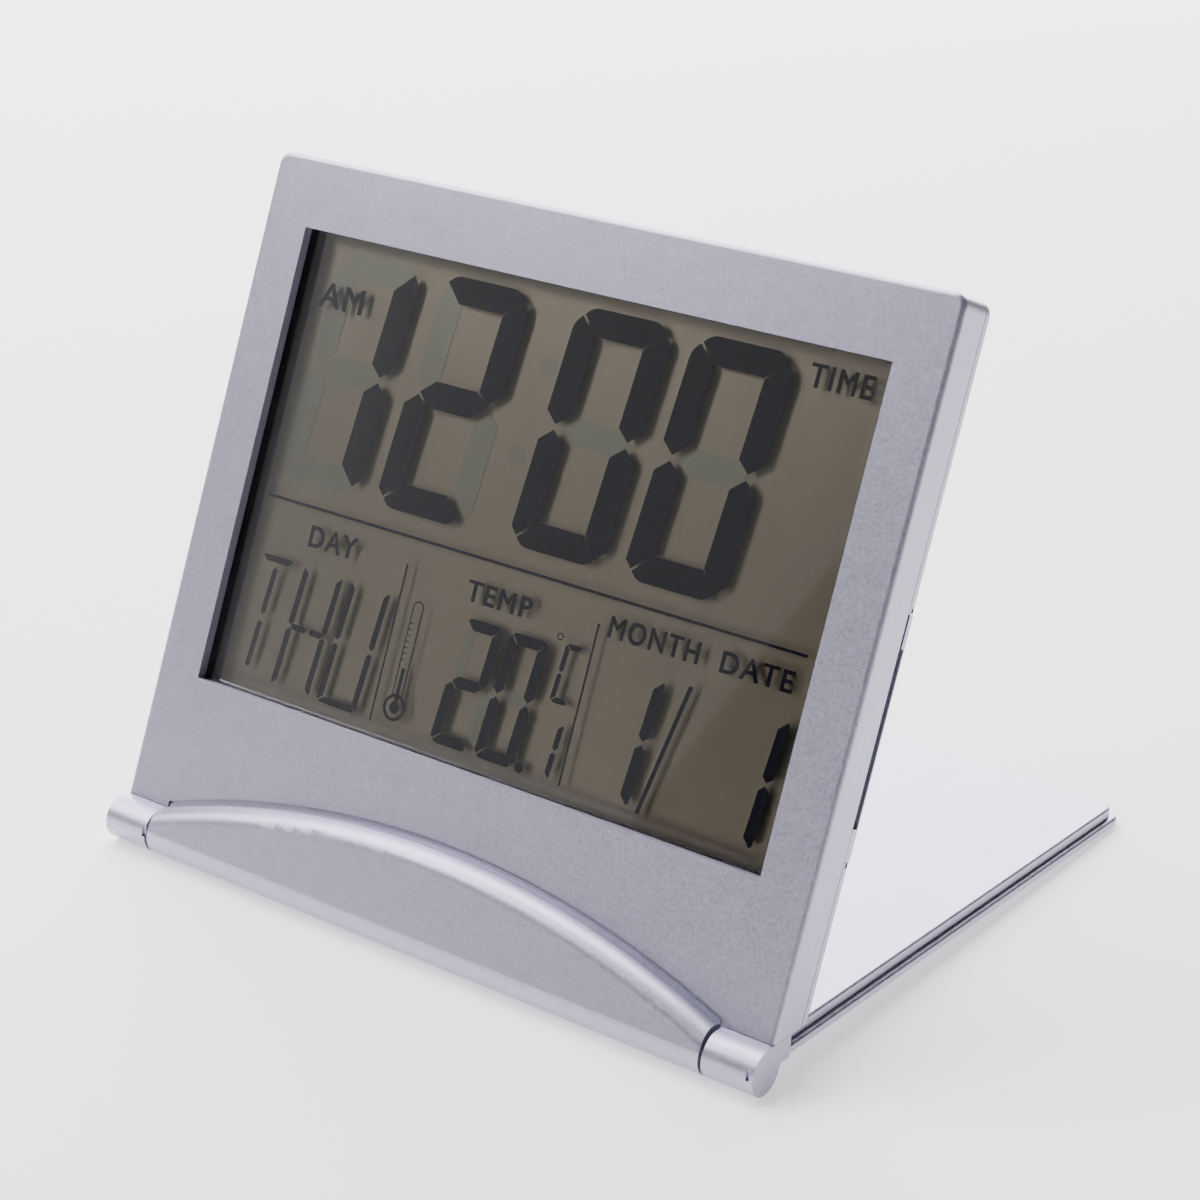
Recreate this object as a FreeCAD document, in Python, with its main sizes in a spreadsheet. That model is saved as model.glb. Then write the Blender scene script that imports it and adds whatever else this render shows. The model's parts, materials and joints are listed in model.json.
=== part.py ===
"""Folding travel alarm clock: a thin LCD unit hinged at its foot to a flip cover.

The cover protects the display when shut and lies on the table as a stand when open.
Two working frames share the hinge axis (X) as their origin:
  display frame - X across, Y from the front face to the back, Z up the display;
  cover frame   - X across, Y from the hinge to the free edge, Z up through the cover.
Every piece is modelled in its own frame and its Placement seats it in the open clock,
with the barrel and the cover's far lower edge on the table.
"""
import FreeCAD, Part
import math
import os
import re
import Sketcher

V = FreeCAD.Vector

SIZES = {
    # overall
    "width": 112.0, "body_top": 99.35, "lean": 71.2, "corner_round": 2.0, "edge_round": 0.7,
    # depth of the display unit, front to back
    "front_face": 0.2, "front_depth": 6.1, "rear_depth": 1.7, "seam": 0.15, "seam_inset": 0.2,
    "front_wall": 1.5, "side_wall": 1.5, "rear_wall": 1.2,
    # window and the optical stack behind it
    "window_width": 96.5, "window_height": 66.4, "window_low": 22.9,
    "lens_thick": 1.0, "lens_lap": 1.2, "lens_play": 0.05, "lip_thick": 0.6, "glass_thick": 0.6,
    "glass_lap": 1.0, "glass_rise": 2.4, "reflector_thick": 0.2, "frame_wall": 1.0, "board_gap": 0.2,
    "ledge": 1.9, "strip_thick": 1.6, "strip_edge": 0.2, "board_thick": 0.8, "board_play": 0.3,
    # hinge: barrel, crowned bow, knuckles and pins
    "hinge_radius": 3.2, "bow_half": 47.85, "crown_height": 8.8, "end_height": 0.4, "bow_round": 2.8,
    "bow_rim": 0.45, "bow_rim_thick": 0.2, "rebate": 0.9, "rebate_depth": 0.4,
    "knuckle_gap": 0.5, "pin_radius": 1.0, "pin_play": 0.05, "pin_in_bow": 5.0, "pin_in_knuckle": 6.0,
    "bow_screw_spread": 12.0,
    # cover
    "cover_over": 0.85, "cover_inset": 0.9, "cover_gap": 0.3, "panel_thick": 1.5, "panel_seam": 0.1,
    "stop_gap": 0.05, "notch_gap": 0.7, "cover_corner": 2.5, "cover_skin": 0.8, "cover_rim": 2.0,
    "cover_edge": 0.4, "tail_length": 5.5, "cheek": 1.0,
    "tail_fillet": 0.9, "sole_round": 0.65, "panel_round": 0.5, "post_radius": 2.0, "post_across": 32.0,
    "post_near": 34.0, "post_far": 84.0, "relief_width": 0.5, "relief_depth": 0.45, "relief_rise": 1.5,
    # screws
    "screw_radius": 0.8, "screw_head": 1.6, "screw_head_thick": 1.0, "screw_length": 5.2,
    "boss_wall": 1.1, "boss_edge": 2.2, "screw_low": 15.0, "slot_width": 0.4, "slot_depth": 0.4,
    # battery bay
    "bay_left": 21.0, "bay_low": 27.1, "bay_high": 59.5, "door_play": 0.1, "door_skin": 0.5,
    "tongue": 0.6, "tongue_thick": 0.4, "lug_thick": 1.15, "thumb_low": 31.5, "thumb_high": 54.9,
    "ridge_count": 5, "ridge_width": 0.8, "ridge_pitch": 2.0, "ridge_margin": 4.0,
    "cell_radius": 10.0, "cell_thick": 1.6, "cell_play": 0.3, "cell_across": 35.0,
    "cap_step": 1.2, "cap_thick": 0.2, "can_round": 0.3,
    "contact_thick": 0.15, "contact_width": 3.0, "bay_ledge": 1.0, "holder_margin": 2.0,
    # electronics
    "button_radius": 2.6, "button_play": 0.15, "button_proud": 0.5, "flange": 0.8, "flange_thick": 0.3,
    "button_row": 80.0, "button_first": -40.0, "button_pitch": 14.0, "button_recess": 0.3,
    "reset_radius": 0.9, "press_gap": 0.35, "pad_thick": 0.25,
    "buzzer_radius": 5.0, "buzzer_thick": 2.3, "buzzer_across": -30.0, "lower_parts": 14.4,
    "sound_hole": 0.64, "sound_ring": 2.75, "air_left": 4.0, "air_right": 12.0, "air_slot": 0.7,
    "air_pitch": 1.8,
    "chip_radius": 5.0, "chip_thick": 0.7, "part_long": 1.6, "part_wide": 0.8, "part_tall": 0.5,
    "part_pitch": 3.0, "crystal_radius": 0.75, "crystal_length": 5.1, "crystal_across": -6.0,
    "sensor_radius": 0.8, "sensor_length": 2.4, "lead_drop": 2.0, "lead_radius": 0.2,
    "lead_overlap": 2.2,
}

doc = FreeCAD.newDocument("travel_clock")
sheet = doc.addObject("Spreadsheet::Sheet", "Sizes")
for row, (alias, number) in enumerate(SIZES.items(), start=1):
    sheet.set(f"B{row}", str(number))
    sheet.setAlias(f"B{row}", alias)
doc.recompute()


def formula(text):
    """The text of a sum of named sizes, as an expression on the sheet."""
    return re.sub(r"[a-z][a-z_]+", lambda m: "Sizes." + m[0] if m[0] in SIZES else m[0], text)


def value(text):
    """The number that a sum of named sizes comes to now, in millimetres or degrees."""
    return float(sheet.evalExpression(formula(str(text))))


# Derived places, as sums of the sheet's sizes. Depths (Y) in the display frame:
parting = "(front_face + front_depth)"
rear_face = "(front_face + front_depth + rear_depth)"
wall_back = "(front_face + front_wall)"
lens_back = "(front_face + front_wall + lens_thick)"
glass_front = "(front_face + front_wall + lens_thick + lip_thick)"
glass_middle = f"({glass_front} + glass_thick)"
glass_back = f"({glass_front} + 2*glass_thick)"
reflector_back = f"({glass_back} + reflector_thick)"
board_front = f"({reflector_back} + board_gap)"
board_back = f"({board_front} + board_thick)"
rear_inside = f"({rear_face} - rear_wall)"
# Heights in the display frame, and half widths:
half_width = "(width/2)"
window_half = "(window_width/2)"
window_top = "(window_low + window_height)"
frame_lap = "(glass_lap + frame_wall)"
frame_rise = "(glass_rise + frame_wall)"
screw_across = "(width/2 - side_wall - boss_edge)"
screw_high = "(body_top - side_wall - boss_edge - boss_wall)"
# The crowned outline of the bow is an arc through its crown and its two ends:
bow_crown = "(hinge_radius + crown_height)"
crown_rise = "(crown_height - end_height)"
crown_radius = f"((bow_half^2 + {crown_rise}^2)/(2*{crown_rise}))"
crown_centre = f"({bow_crown} - {crown_radius})"
# Cover frame: length, underside, parting plane and where the knuckles and the lower tail begin:
cover_length = "(body_top + cover_over)"
underside = "(cover_gap - front_face)"
panel_top = f"({underside} + panel_thick)"
shell_low = f"({panel_top} + panel_seam)"
knuckle_start = "(bow_half + knuckle_gap)"
tail_split = "(hinge_radius + panel_seam)"
# The cell lies against the door, and the floor of its well is a contact's thickness in front of it:
cell_back = f"({rear_face} - door_skin - tongue_thick - 1.5*door_play)"
cell_front = f"({cell_back} - cell_thick)"
well_floor = f"({cell_front} - door_play/2 - contact_thick)"
cell_up = "((bay_low + bay_high)/2)"
button_names = ["mode_button", "set_button", "up_button", "snooze_button"]


def under_edge(depth):
    """Height of the display's sloping underside, which lies along the cover, at a depth."""
    return f"((hinge_radius + stop_gap + {depth}*cos(lean))/sin(lean))"


# The bow's screws stand just above the floor of the front shell:
bow_screw_rise = f"({under_edge(parting)} + side_wall + screw_head + door_play)"


# ---------------------------------------------------------------- sketches and features

def new_body(label):
    body = doc.addObject("PartDesign::Body", label)
    body.Label = label
    return body


def new_sketch(body, role, offset):
    """A sketch on one of the body's origin planes, moved along the plane's normal."""
    sketch = body.newObject("Sketcher::SketchObject", "Outline")
    plane = next(f for f in body.Origin.OriginFeatures if f.Role == role)
    sketch.AttachmentSupport = [(plane, "")]
    sketch.MapMode = "FlatFace"
    sketch.setExpression("AttachmentOffset.Base.z", formula(offset))
    return sketch


def bind(sketch, kind, *terms, size):
    """Add one driven distance or radius, bound to the sheet."""
    index = sketch.addConstraint(Sketcher.Constraint(kind, *terms, value(size)))
    sketch.setExpression(f"Constraints[{index}]", formula(size))


def pin_point(sketch, curve, end, across, up):
    bind(sketch, "DistanceX", -1, 1, curve, end, size=across)
    bind(sketch, "DistanceY", -1, 1, curve, end, size=up)


def polygon(*corners):
    """Draws a closed outline through corners given as pairs of sums."""
    def draw(sketch):
        first = sketch.GeometryCount
        count = len(corners)
        spots = [V(value(x), value(y), 0) for x, y in corners]
        for i, spot in enumerate(spots):
            sketch.addGeometry(Part.LineSegment(spot, spots[(i + 1) % count]))
        for i, (across, up) in enumerate(corners):
            following = first + (i + 1) % count
            sketch.addConstraint(Sketcher.Constraint("Coincident", first + i, 2, following, 1))
            pin_point(sketch, first + i, 1, across, up)
    return draw


def rectangle(left, right, low, high):
    return polygon((left, low), (right, low), (right, high), (left, high))


def circles(radius, *centres):
    def draw(sketch):
        for across, up in centres:
            spot = V(value(across), value(up), 0)
            curve = sketch.addGeometry(Part.Circle(spot, V(0, 0, 1), value(radius)))
            bind(sketch, "Radius", curve, size=radius)
            pin_point(sketch, curve, 3, across, up)
    return draw


def crowned(half, low, grow):
    """A flat-based outline whose top is the bow's arc, grown outwards by a clearance."""
    radius = f"({crown_radius} + {grow})"
    top_at_side = f"({crown_centre} + sqrt({radius}^2 - {half}^2))"

    def draw(sketch):
        side, base, shoulder = value(half), value(low), value(top_at_side)
        corners = [V(-side, shoulder, 0), V(-side, base, 0), V(side, base, 0), V(side, shoulder, 0)]
        for start, end in zip(corners, corners[1:]):
            sketch.addGeometry(Part.LineSegment(start, end))
        crown = V(0, value(crown_centre) + value(radius), 0)
        sketch.addGeometry(Part.Arc(corners[3], crown, corners[0]))
        for i in range(2):
            sketch.addConstraint(Sketcher.Constraint("Coincident", i, 2, i + 1, 1))
        pin_point(sketch, 1, 1, f"-{half}", low)
        pin_point(sketch, 1, 2, half, low)
        pin_point(sketch, 0, 1, f"-{half}", top_at_side)
        pin_point(sketch, 2, 2, half, top_at_side)
        sketch.addConstraint(Sketcher.Constraint("Coincident", 3, 1, 2, 2))
        sketch.addConstraint(Sketcher.Constraint("Coincident", 3, 2, 0, 1))
        bind(sketch, "Radius", 3, size=radius)
    return draw


# The plane that a sketch lies on, its normal, and the way that pads and pockets run from it:
PLANES = {
    "back": ("XZ_Plane", "-1*"),    # towards +Y
    "up": ("XY_Plane", "1*"),       # towards +Z
    "right": ("YZ_Plane", "1*"),    # towards +X
}


def feature(kind, body, way, start, length, draw):
    role, sign = PLANES[way]
    sketch = new_sketch(body, role, sign + f"({start})")
    draw(sketch)
    step = body.newObject(kind, kind.split("::")[1])
    step.Profile = sketch
    step.Reversed = (way == "back") == (kind == "PartDesign::Pad")
    step.setExpression("Length", formula(length))
    return step


def pad(body, way, start, end, draw):
    """Solid from one plane to a parallel one further along the way."""
    return feature("PartDesign::Pad", body, way, start, f"({end}) - ({start})", draw)


def pocket(body, way, start, end, draw):
    """The same as a cut; it has to take something away."""
    doc.recompute()
    before = body.Shape.Volume
    step = feature("PartDesign::Pocket", body, way, start, f"({end}) - ({start})", draw)
    doc.recompute()
    if body.Shape.Volume > before - 1e-6:
        raise RuntimeError(f"a pocket in {body.Label} cuts nothing")
    return step


def dress(kind, body, size, wanted):
    """Round or chamfer the edges of the body's last feature that a test picks."""
    doc.recompute()
    base = body.Tip
    names = [f"Edge{i}" for i, edge in enumerate(base.Shape.Edges, start=1) if wanted(edge)]
    if not names:
        raise RuntimeError(f"no edge of {body.Label} to dress")
    step = body.newObject(kind, kind.split("::")[1])
    step.Base = (base, names)
    step.setExpression("Radius" if kind.endswith("Fillet") else "Size", formula(size))
    return step


def near(a, b):
    return abs(a - b) < 1e-4


def runs_along(edge, axis):
    """Whether an edge is straight and parallel to an axis, 0 to 2."""
    if edge.Curve.TypeId != "Part::GeomLine":
        return False
    return near(abs(edge.Curve.Direction[axis]), 1)


def lies_at(edge, axis, place):
    """Whether a whole edge lies in the plane at a place on an axis."""
    box = edge.BoundBox
    low = (box.XMin, box.YMin, box.ZMin)[axis]
    high = (box.XMax, box.YMax, box.ZMax)[axis]
    return near(low, value(place)) and near(high, value(place))


def middle(edge):
    return edge.valueAt((edge.FirstParameter + edge.LastParameter)/2)


# ---------------------------------------------------------------- display unit: housings

def shell_outline(front, back):
    """Side view of a display shell: its foot slopes with the cover that it stands on."""
    return polygon((front, under_edge(front)), (back, under_edge(back)), (back, "body_top"),
                   (front, "body_top"))


def top_corner(edge):
    return runs_along(edge, 1) and near(edge.BoundBox.ZMax, value("body_top"))


def outer_rim(depth):
    """Picks the top and side edges of a shell's face at a depth."""
    def wanted(edge):
        if not lies_at(edge, 1, depth):
            return False
        spot = middle(edge)
        high = spot.z > value("body_top - corner_round") - 1e-4
        return high or abs(spot.x) > value("width/2 - corner_round") - 1e-4
    return wanted


def make_front_housing():
    body = new_body("front_housing")
    pad(body, "right", "-width/2", half_width, shell_outline("front_face", parting))
    dress("PartDesign::Fillet", body, "corner_round", top_corner)
    dress("PartDesign::Fillet", body, "edge_round", outer_rim("front_face"))
    inner_half = "(width/2 - side_wall)"
    floor = f"({under_edge(parting)} + side_wall)"
    pocket(body, "back", wall_back, parting,
           rectangle(f"-{inner_half}", inner_half, floor, "body_top - side_wall"))
    pocket(body, "back", "front_face", wall_back,
           rectangle(f"-{window_half}", window_half, "window_low", window_top))
    pocket(body, "back", "front_face", "front_face + rebate_depth",
           crowned("(bow_half + knuckle_gap/2)", under_edge("0"), "rebate"))
    screw_spots = [(f"{side}*bow_screw_spread", bow_screw_rise) for side in (-1, 1)]
    pocket(body, "back", "front_face + rebate_depth", wall_back + " + 2*side_wall",
           circles("screw_radius", *screw_spots))
    # Bosses for the rear screws, each with a pilot hole
    spots = [(f"{side}*{screw_across}", up) for side in (-1, 1) for up in ("screw_low", screw_high)]
    pad(body, "back", wall_back, parting, circles("screw_radius + boss_wall", *spots))
    pocket(body, "back", f"{rear_face} - screw_length", parting, circles("screw_radius", *spots))
    return body


def make_rear_housing():
    body = new_body("rear_housing")
    rim_half = "(width/2 - seam_inset)"
    skin_front = f"({parting} + seam)"
    pad(body, "right", "-width/2", half_width, shell_outline(skin_front, rear_face))
    dress("PartDesign::Fillet", body, "corner_round", top_corner)
    dress("PartDesign::Fillet", body, "edge_round", outer_rim(rear_face))
    # A shallow set-back beside the parting line, between the two shells
    foot = f"({under_edge(skin_front)} + seam_inset)"
    cut_side, cut_top = f"({rim_half} - corner_round)", "body_top - seam_inset"
    pad(body, "back", parting, skin_front,
        polygon((f"-{rim_half}", foot), (rim_half, foot), (rim_half, f"{cut_top} - corner_round"),
                (cut_side, cut_top), (f"-{cut_side}", cut_top),
                (f"-{rim_half}", f"{cut_top} - corner_round")))
    inner_half = "(width/2 - side_wall)"
    floor = f"({under_edge(rear_face)} + side_wall)"
    pocket(body, "back", parting, rear_inside,
           rectangle(f"-{inner_half}", inner_half, floor, "body_top - side_wall"))
    # Battery bay: a frame with ledges, the bay itself and the door's two guide slots
    ledge_top = f"({rear_face} - door_skin - tongue_thick - 2*door_play)"
    pad(body, "back", parting, ledge_top,
        rectangle("bay_left - holder_margin", inner_half, "bay_low - holder_margin",
                  "bay_high + holder_margin"))
    pocket(body, "back", parting, ledge_top,
           rectangle("bay_left + bay_ledge", "width", "bay_low + bay_ledge", "bay_high - bay_ledge"))
    side_open = f"({inner_half} - door_play)"
    pocket(body, "back", parting, rear_face, rectangle(side_open, "width", "bay_low", "bay_high"))
    slot_back = f"({rear_face} - door_skin)"
    pocket(body, "back", slot_back, rear_face, rectangle("bay_left", "width", "bay_low", "bay_high"))
    reach = "(tongue + door_play)"
    pocket(body, "back", ledge_top, slot_back,
           rectangle(f"bay_left - {reach}", "width", f"bay_low - {reach}", f"bay_high + {reach}"))
    # Shallow recess round the row of buttons, and their holes
    row_low, row_high = "button_row - button_radius - flange*2", "button_row + button_radius + flange*2"
    last = f"(button_first + {len(button_names)}*button_pitch)"
    pocket(body, "back", f"{rear_face} - button_recess", rear_face,
           rectangle("button_first - 2*button_radius", f"{last} + 2*button_radius", row_low, row_high))
    spots = [(f"button_first + {i}*button_pitch", "button_row") for i in range(len(button_names))]
    pocket(body, "back", parting, rear_face, circles("button_radius + button_play", *spots))
    pocket(body, "back", parting, rear_face, circles("reset_radius + button_play", (last, "button_row")))
    # Sound holes over the buzzer: one in the middle and a ring of six
    holes = [("buzzer_across", "lower_parts")]
    for turn in range(0, 360, 60):
        holes.append((f"buzzer_across + sound_ring*cos({turn})",
                      f"lower_parts + sound_ring*sin({turn})"))
    pocket(body, "back", parting, rear_face, circles("sound_hole", *holes))
    # Air slots by the temperature sensor
    for i in (-1, 0, 1):
        low = f"(lower_parts - air_slot/2 + {i}*air_pitch)"
        pocket(body, "back", parting, rear_face,
               rectangle("air_left", "air_right", low, f"{low} + air_slot"))
    # Counterbored screw holes
    spots = [(f"{side}*{screw_across}", up) for side in (-1, 1) for up in ("screw_low", screw_high)]
    pad(body, "back", parting, rear_inside, circles("screw_radius + boss_wall", *spots))
    pocket(body, "back", parting, rear_face, circles("screw_radius + door_play", *spots))
    pocket(body, "back", f"{rear_face} - screw_head_thick", rear_face,
           circles("screw_head + door_play", *spots))
    return body


def make_hinge_bow():
    """The crowned bow along the foot of the display, with the hinge's barrel below it."""
    body = new_body("hinge_bow")
    seat = "(front_face + rebate_depth)"
    front = "(-hinge_radius)"
    pad(body, "back", front, seat, crowned("bow_half", "0", "0"))
    dress("PartDesign::Fillet", body, "min(bow_round; 0.9*(hinge_radius + end_height))",
          lambda e: lies_at(e, 1, front) and e.Curve.TypeId == "Part::GeomCircle")
    pad(body, "right", "-bow_half", "bow_half", circles("hinge_radius", ("0", "0")))
    pad(body, "back", f"{seat} - bow_rim_thick", seat,
        crowned("bow_half", under_edge("0"), "bow_rim"))
    spots = [(f"{side}*bow_screw_spread", bow_screw_rise) for side in (-1, 1)]
    pocket(body, "back", f"{wall_back} + screw_head_thick - screw_length", seat,
           circles("screw_radius", *spots))
    for start, end in (("-bow_half", "-bow_half + pin_in_bow"), ("bow_half - pin_in_bow", "bow_half")):
        pocket(body, "right", start, end, circles("pin_radius + pin_play", ("0", "0")))
    return body


# ---------------------------------------------------------------- display unit: optics

def make_window_lens():
    body = new_body("window_lens")
    half = f"({window_half} + lens_lap - lens_play)"
    pad(body, "back", wall_back, f"{lens_back} - lens_play",
        rectangle(f"-{half}", half, "window_low - lens_lap + lens_play",
                  f"{window_top} + lens_lap - lens_play"))
    return body


def make_lcd_frame():
    """Black frame behind the window: lens pocket, lip at the window's size, glass pocket."""
    body = new_body("lcd_frame")
    levels = [
        (wall_back, board_front, "max(lens_lap; glass_lap) + frame_wall",
         "max(lens_lap; glass_rise) + frame_wall", pad),
        (wall_back, lens_back, "lens_lap", "lens_lap", pocket),
        (lens_back, glass_front, "0", "0", pocket),
        (glass_front, board_front, "glass_lap", "glass_rise", pocket),
    ]
    for front, back, lap, rise, step in levels:
        half = f"({window_half} + {lap})"
        step(body, "back", front, back,
             rectangle(f"-{half}", half, f"window_low - ({rise})", f"{window_top} + ({rise})"))
    return body


def make_glass(label, front, back, short):
    """A sheet of the display; short trims its two long edges to leave contact ledges."""
    body = new_body(label)
    half = f"({window_half} + glass_lap - lens_play)"
    low = f"window_low - glass_rise + lens_play + {short}"
    pad(body, "back", front, back,
        rectangle(f"-{half}", half, low, f"{window_top} + glass_rise - lens_play - {short}"))
    return body


def make_zebra_strip(label, low, right):
    """Rubber contact strip between the front glass's ledge and the board."""
    body = new_body(label)
    pad(body, "back", glass_middle, board_front,
        rectangle(f"-{window_half}", right, low, f"({low}) + strip_thick"))
    return body


# ---------------------------------------------------------------- display unit: electronics

board_right = "(bay_left - holder_margin - board_play)"


def make_main_board():
    body = new_body("main_board")
    half = f"({window_half} + {frame_lap})"
    low, high = f"(window_low - {frame_rise})", f"({window_top} + {frame_rise})"
    step_up = "(bay_high + holder_margin + board_play)"
    pad(body, "back", board_front, board_back,
        polygon((f"-{half}", low), (board_right, low), (board_right, step_up), (half, step_up),
                (half, high), (f"-{half}", high)))
    return body


def make_clock_chip():
    body = new_body("clock_chip")
    pad(body, "back", board_back, f"{board_back} + chip_thick",
        circles("chip_radius", ("button_first + button_pitch", "window_low + window_height/3")))
    dress("PartDesign::Fillet", body, "chip_thick*0.8",
          lambda e: lies_at(e, 1, f"{board_back} + chip_thick"))
    return body


def make_board_parts():
    """Surface-mount resistors and capacitors, in a column and a row."""
    body = new_body("board_components")
    rise = "(window_low + window_height/3)"
    places = [("button_first + 2*button_pitch", f"{rise} + {i}*part_pitch") for i in range(-2, 4)]
    places += [(f"button_first + button_pitch + {i}*part_pitch", f"{rise} + 4*part_pitch")
               for i in range(-2, 2)]
    for across, up in places:
        pad(body, "back", board_back, f"{board_back} + part_tall",
            rectangle(across, f"{across} + part_long", up, f"{up} + part_wide"))
    return body


board_low = f"(window_low - {frame_rise})"


def make_leaded_part(label, radius, length, across):
    """A small can or bead below the board, with two wires that lie on the board's back."""
    body = new_body(label)
    top = f"({board_low} - lead_drop)"
    depth = f"({board_back} + lead_radius)"
    pad(body, "up", f"{top} - {length}", top, circles(radius, (across, depth)))
    wires = [(f"{across} + {side}*{radius}/2", depth) for side in (-1, 1)]
    pad(body, "up", f"{top} - lead_radius", f"{board_low} + lead_overlap", circles("lead_radius", *wires))
    return body


def make_buzzer():
    body = new_body("piezo_buzzer")
    back = f"({rear_inside} - door_play)"
    pad(body, "back", f"{back} - buzzer_thick", back,
        circles("buzzer_radius", ("buzzer_across", "lower_parts")))
    depth = f"({board_back} + lead_radius)"
    wires = [(f"buzzer_across + {side}*buzzer_radius/4", depth) for side in (-1, 1)]
    pad(body, "up", "lower_parts + buzzer_radius/2", f"{board_low} + lead_overlap",
        circles("lead_radius", *wires))
    return body


def make_battery_holder():
    body = new_body("battery_holder")
    left, right = "bay_left - holder_margin + board_play", f"{window_half} + glass_lap"
    pad(body, "back", board_front, parting,
        rectangle(left, right, "bay_low - holder_margin + board_play",
                  "bay_high + holder_margin - board_play"))
    pocket(body, "back", well_floor, parting,
           circles("cell_radius + cell_play", ("cell_across", cell_up)))
    # A channel for each contact's strip, half as wide again as the strip
    for low, start in (("-0.75*contact_width", f"min({well_floor}; {board_back})"),
                       ("1.25*contact_width", board_back)):
        pocket(body, "back", start, parting,
               rectangle("bay_left - 2*holder_margin", "cell_across - cell_radius + contact_width/2",
                         f"{cell_up} + {low}", f"{cell_up} + {low} + 1.5*contact_width"))
    return body


def make_contact(label, low, runs):
    """A bent strip as wide as a contact, as its flat runs: left, right, front and back of each."""
    body = new_body(label)
    for left, right, front, back in runs:
        pad(body, "up", low, f"({low}) + contact_width", rectangle(left, right, front, back))
    return body


def make_contacts():
    """Strips soldered to the board's back: one under the cell and one up to the can's rim."""
    skin = "contact_thick"
    tab = "(bay_left - 3*holder_margin)"
    turn = "(bay_left - holder_margin + 2*board_play)"
    tip = "(cell_across + cell_radius/3)"
    make_contact("battery_contact_negative", f"{cell_up} - contact_width/2", [
        (tab, f"{turn} + {skin}", board_back, f"{board_back} + {skin}"),
        (turn, f"{turn} + {skin}", f"min({board_back}; {well_floor})",
         f"max({board_back}; {well_floor}) + {skin}"),
        (turn, tip, well_floor, f"{well_floor} + {skin}")])
    rim = "(cell_across - sqrt((cell_radius + cell_play/2)^2 - (1.5*contact_width)^2))"
    make_contact("battery_contact_positive", f"{cell_up} + 1.5*contact_width", [
        (tab, rim, board_back, f"{board_back} + {skin}"),
        (f"{rim} - {skin}", rim, board_back, f"{cell_back} - door_play/2")])


def make_coin_cell():
    """The can, with the smaller cap of its negative side towards the contact."""
    body = new_body("coin_cell")
    spot = ("cell_across", cell_up)
    can_front = f"({cell_front} + cap_thick)"
    pad(body, "back", can_front, cell_back, circles("cell_radius", spot))
    dress("PartDesign::Fillet", body, "can_round", lambda e: lies_at(e, 1, cell_back))
    pad(body, "back", cell_front, can_front, circles("cell_radius - cap_step", spot))
    return body


def make_battery_door():
    """Slides off to the right on tongues; its edge wall is low in the middle for a thumb."""
    body = new_body("battery_door")
    low, high = "bay_low + door_play", "bay_high - door_play"
    skin_front = f"({rear_face} - door_skin)"
    pad(body, "back", skin_front, rear_face, rectangle("bay_left + door_play", half_width, low, high))
    tongue_front = f"({skin_front} - tongue_thick)"
    pad(body, "back", tongue_front, skin_front,
        rectangle("bay_left - tongue", "width/2 - side_wall", "bay_low - tongue", "bay_high + tongue"))
    edge_left = "(width/2 - side_wall)"
    pad(body, "back", f"{rear_face} - lug_thick", skin_front,
        rectangle(edge_left, half_width, "thumb_high", high))
    pad(body, "back", f"{parting} + door_play", skin_front,
        rectangle(edge_left, half_width, low, "thumb_low"))
    dress("PartDesign::Fillet", body, "edge_round*0.5",
          lambda e: lies_at(e, 0, half_width) and lies_at(e, 1, rear_face))
    # Grip ridges: shallow grooves near the outer edge
    for i in range(int(value("ridge_count"))):
        across = f"(width/2 - ridge_margin - {i}*ridge_pitch)"
        pocket(body, "back", f"{rear_face} - door_skin/2", rear_face,
               rectangle(f"{across} - ridge_width", across, "thumb_low + ridge_margin",
                         "thumb_high - ridge_margin"))
    return body


def make_button(label, radius, across, proud):
    body = new_body(label)
    spot = (across, "button_row")
    flange_back = f"({rear_inside} - door_play/2)"
    flange_front = f"({flange_back} - flange_thick)"
    pad(body, "back", flange_front, flange_back, circles(f"{radius} + flange", spot))
    pad(body, "back", flange_back, f"{rear_face} + {proud}", circles(radius, spot))
    dress("PartDesign::Fillet", body, f"{radius}/6", lambda e: lies_at(e, 1, f"{rear_face} + {proud}"))
    tip = f"({board_back} + pad_thick + press_gap)"
    pad(body, "back", tip, flange_front, circles(f"{radius}*0.6", spot))
    return body


def make_buttons():
    for i, label in enumerate(button_names):
        make_button(label, "button_radius", f"button_first + {i}*button_pitch", "button_proud")
    make_button("reset_button", "reset_radius", f"button_first + {len(button_names)}*button_pitch",
                "(-1*door_play)")


def make_keypad_contacts():
    body = new_body("keypad_contacts")
    spots = [(f"button_first + {i}*button_pitch", "button_row") for i in range(len(button_names) + 1)]
    pad(body, "back", board_back, f"{board_back} + pad_thick", circles("button_radius*0.8", *spots))
    return body


def make_screws(label, way_out, spots):
    """Self-tapping screws side by side: heads at way_out, shanks running forwards from them."""
    body = new_body(label)
    head_front = f"({way_out} - screw_head_thick)"
    shank_end = f"({way_out} - screw_length)"
    pad(body, "back", shank_end, head_front, circles("screw_radius", *spots))
    pad(body, "back", head_front, way_out, circles("screw_head", *spots))
    for across, up in spots:
        for wide, tall in (("screw_head*1.2", "slot_width"), ("slot_width", "screw_head*1.2")):
            pocket(body, "back", f"{way_out} - slot_depth", way_out,
                   rectangle(f"{across} - {wide}/2", f"{across} + {wide}/2",
                             f"{up} - {tall}/2", f"{up} + {tall}/2"))
    return body


# ---------------------------------------------------------------- cover

def free_corner(edge):
    """An upright edge at one of the cover's two far corners."""
    return runs_along(edge, 2) and edge.BoundBox.YMin > value(f"{cover_length} - 2*cover_inset")


def far_rim(height, length):
    """Picks the side and far edges of a cover sheet at a height."""
    def wanted(edge):
        if not lies_at(edge, 2, height):
            return False
        spot = middle(edge)
        beyond_tail = spot.y > value("tail_length") + 1e-3
        at_side = abs(spot.x) > value("width/2 - cover_inset - cover_corner") and beyond_tail
        return at_side or spot.y > value(length) - value("cover_corner")
    return wanted


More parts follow.
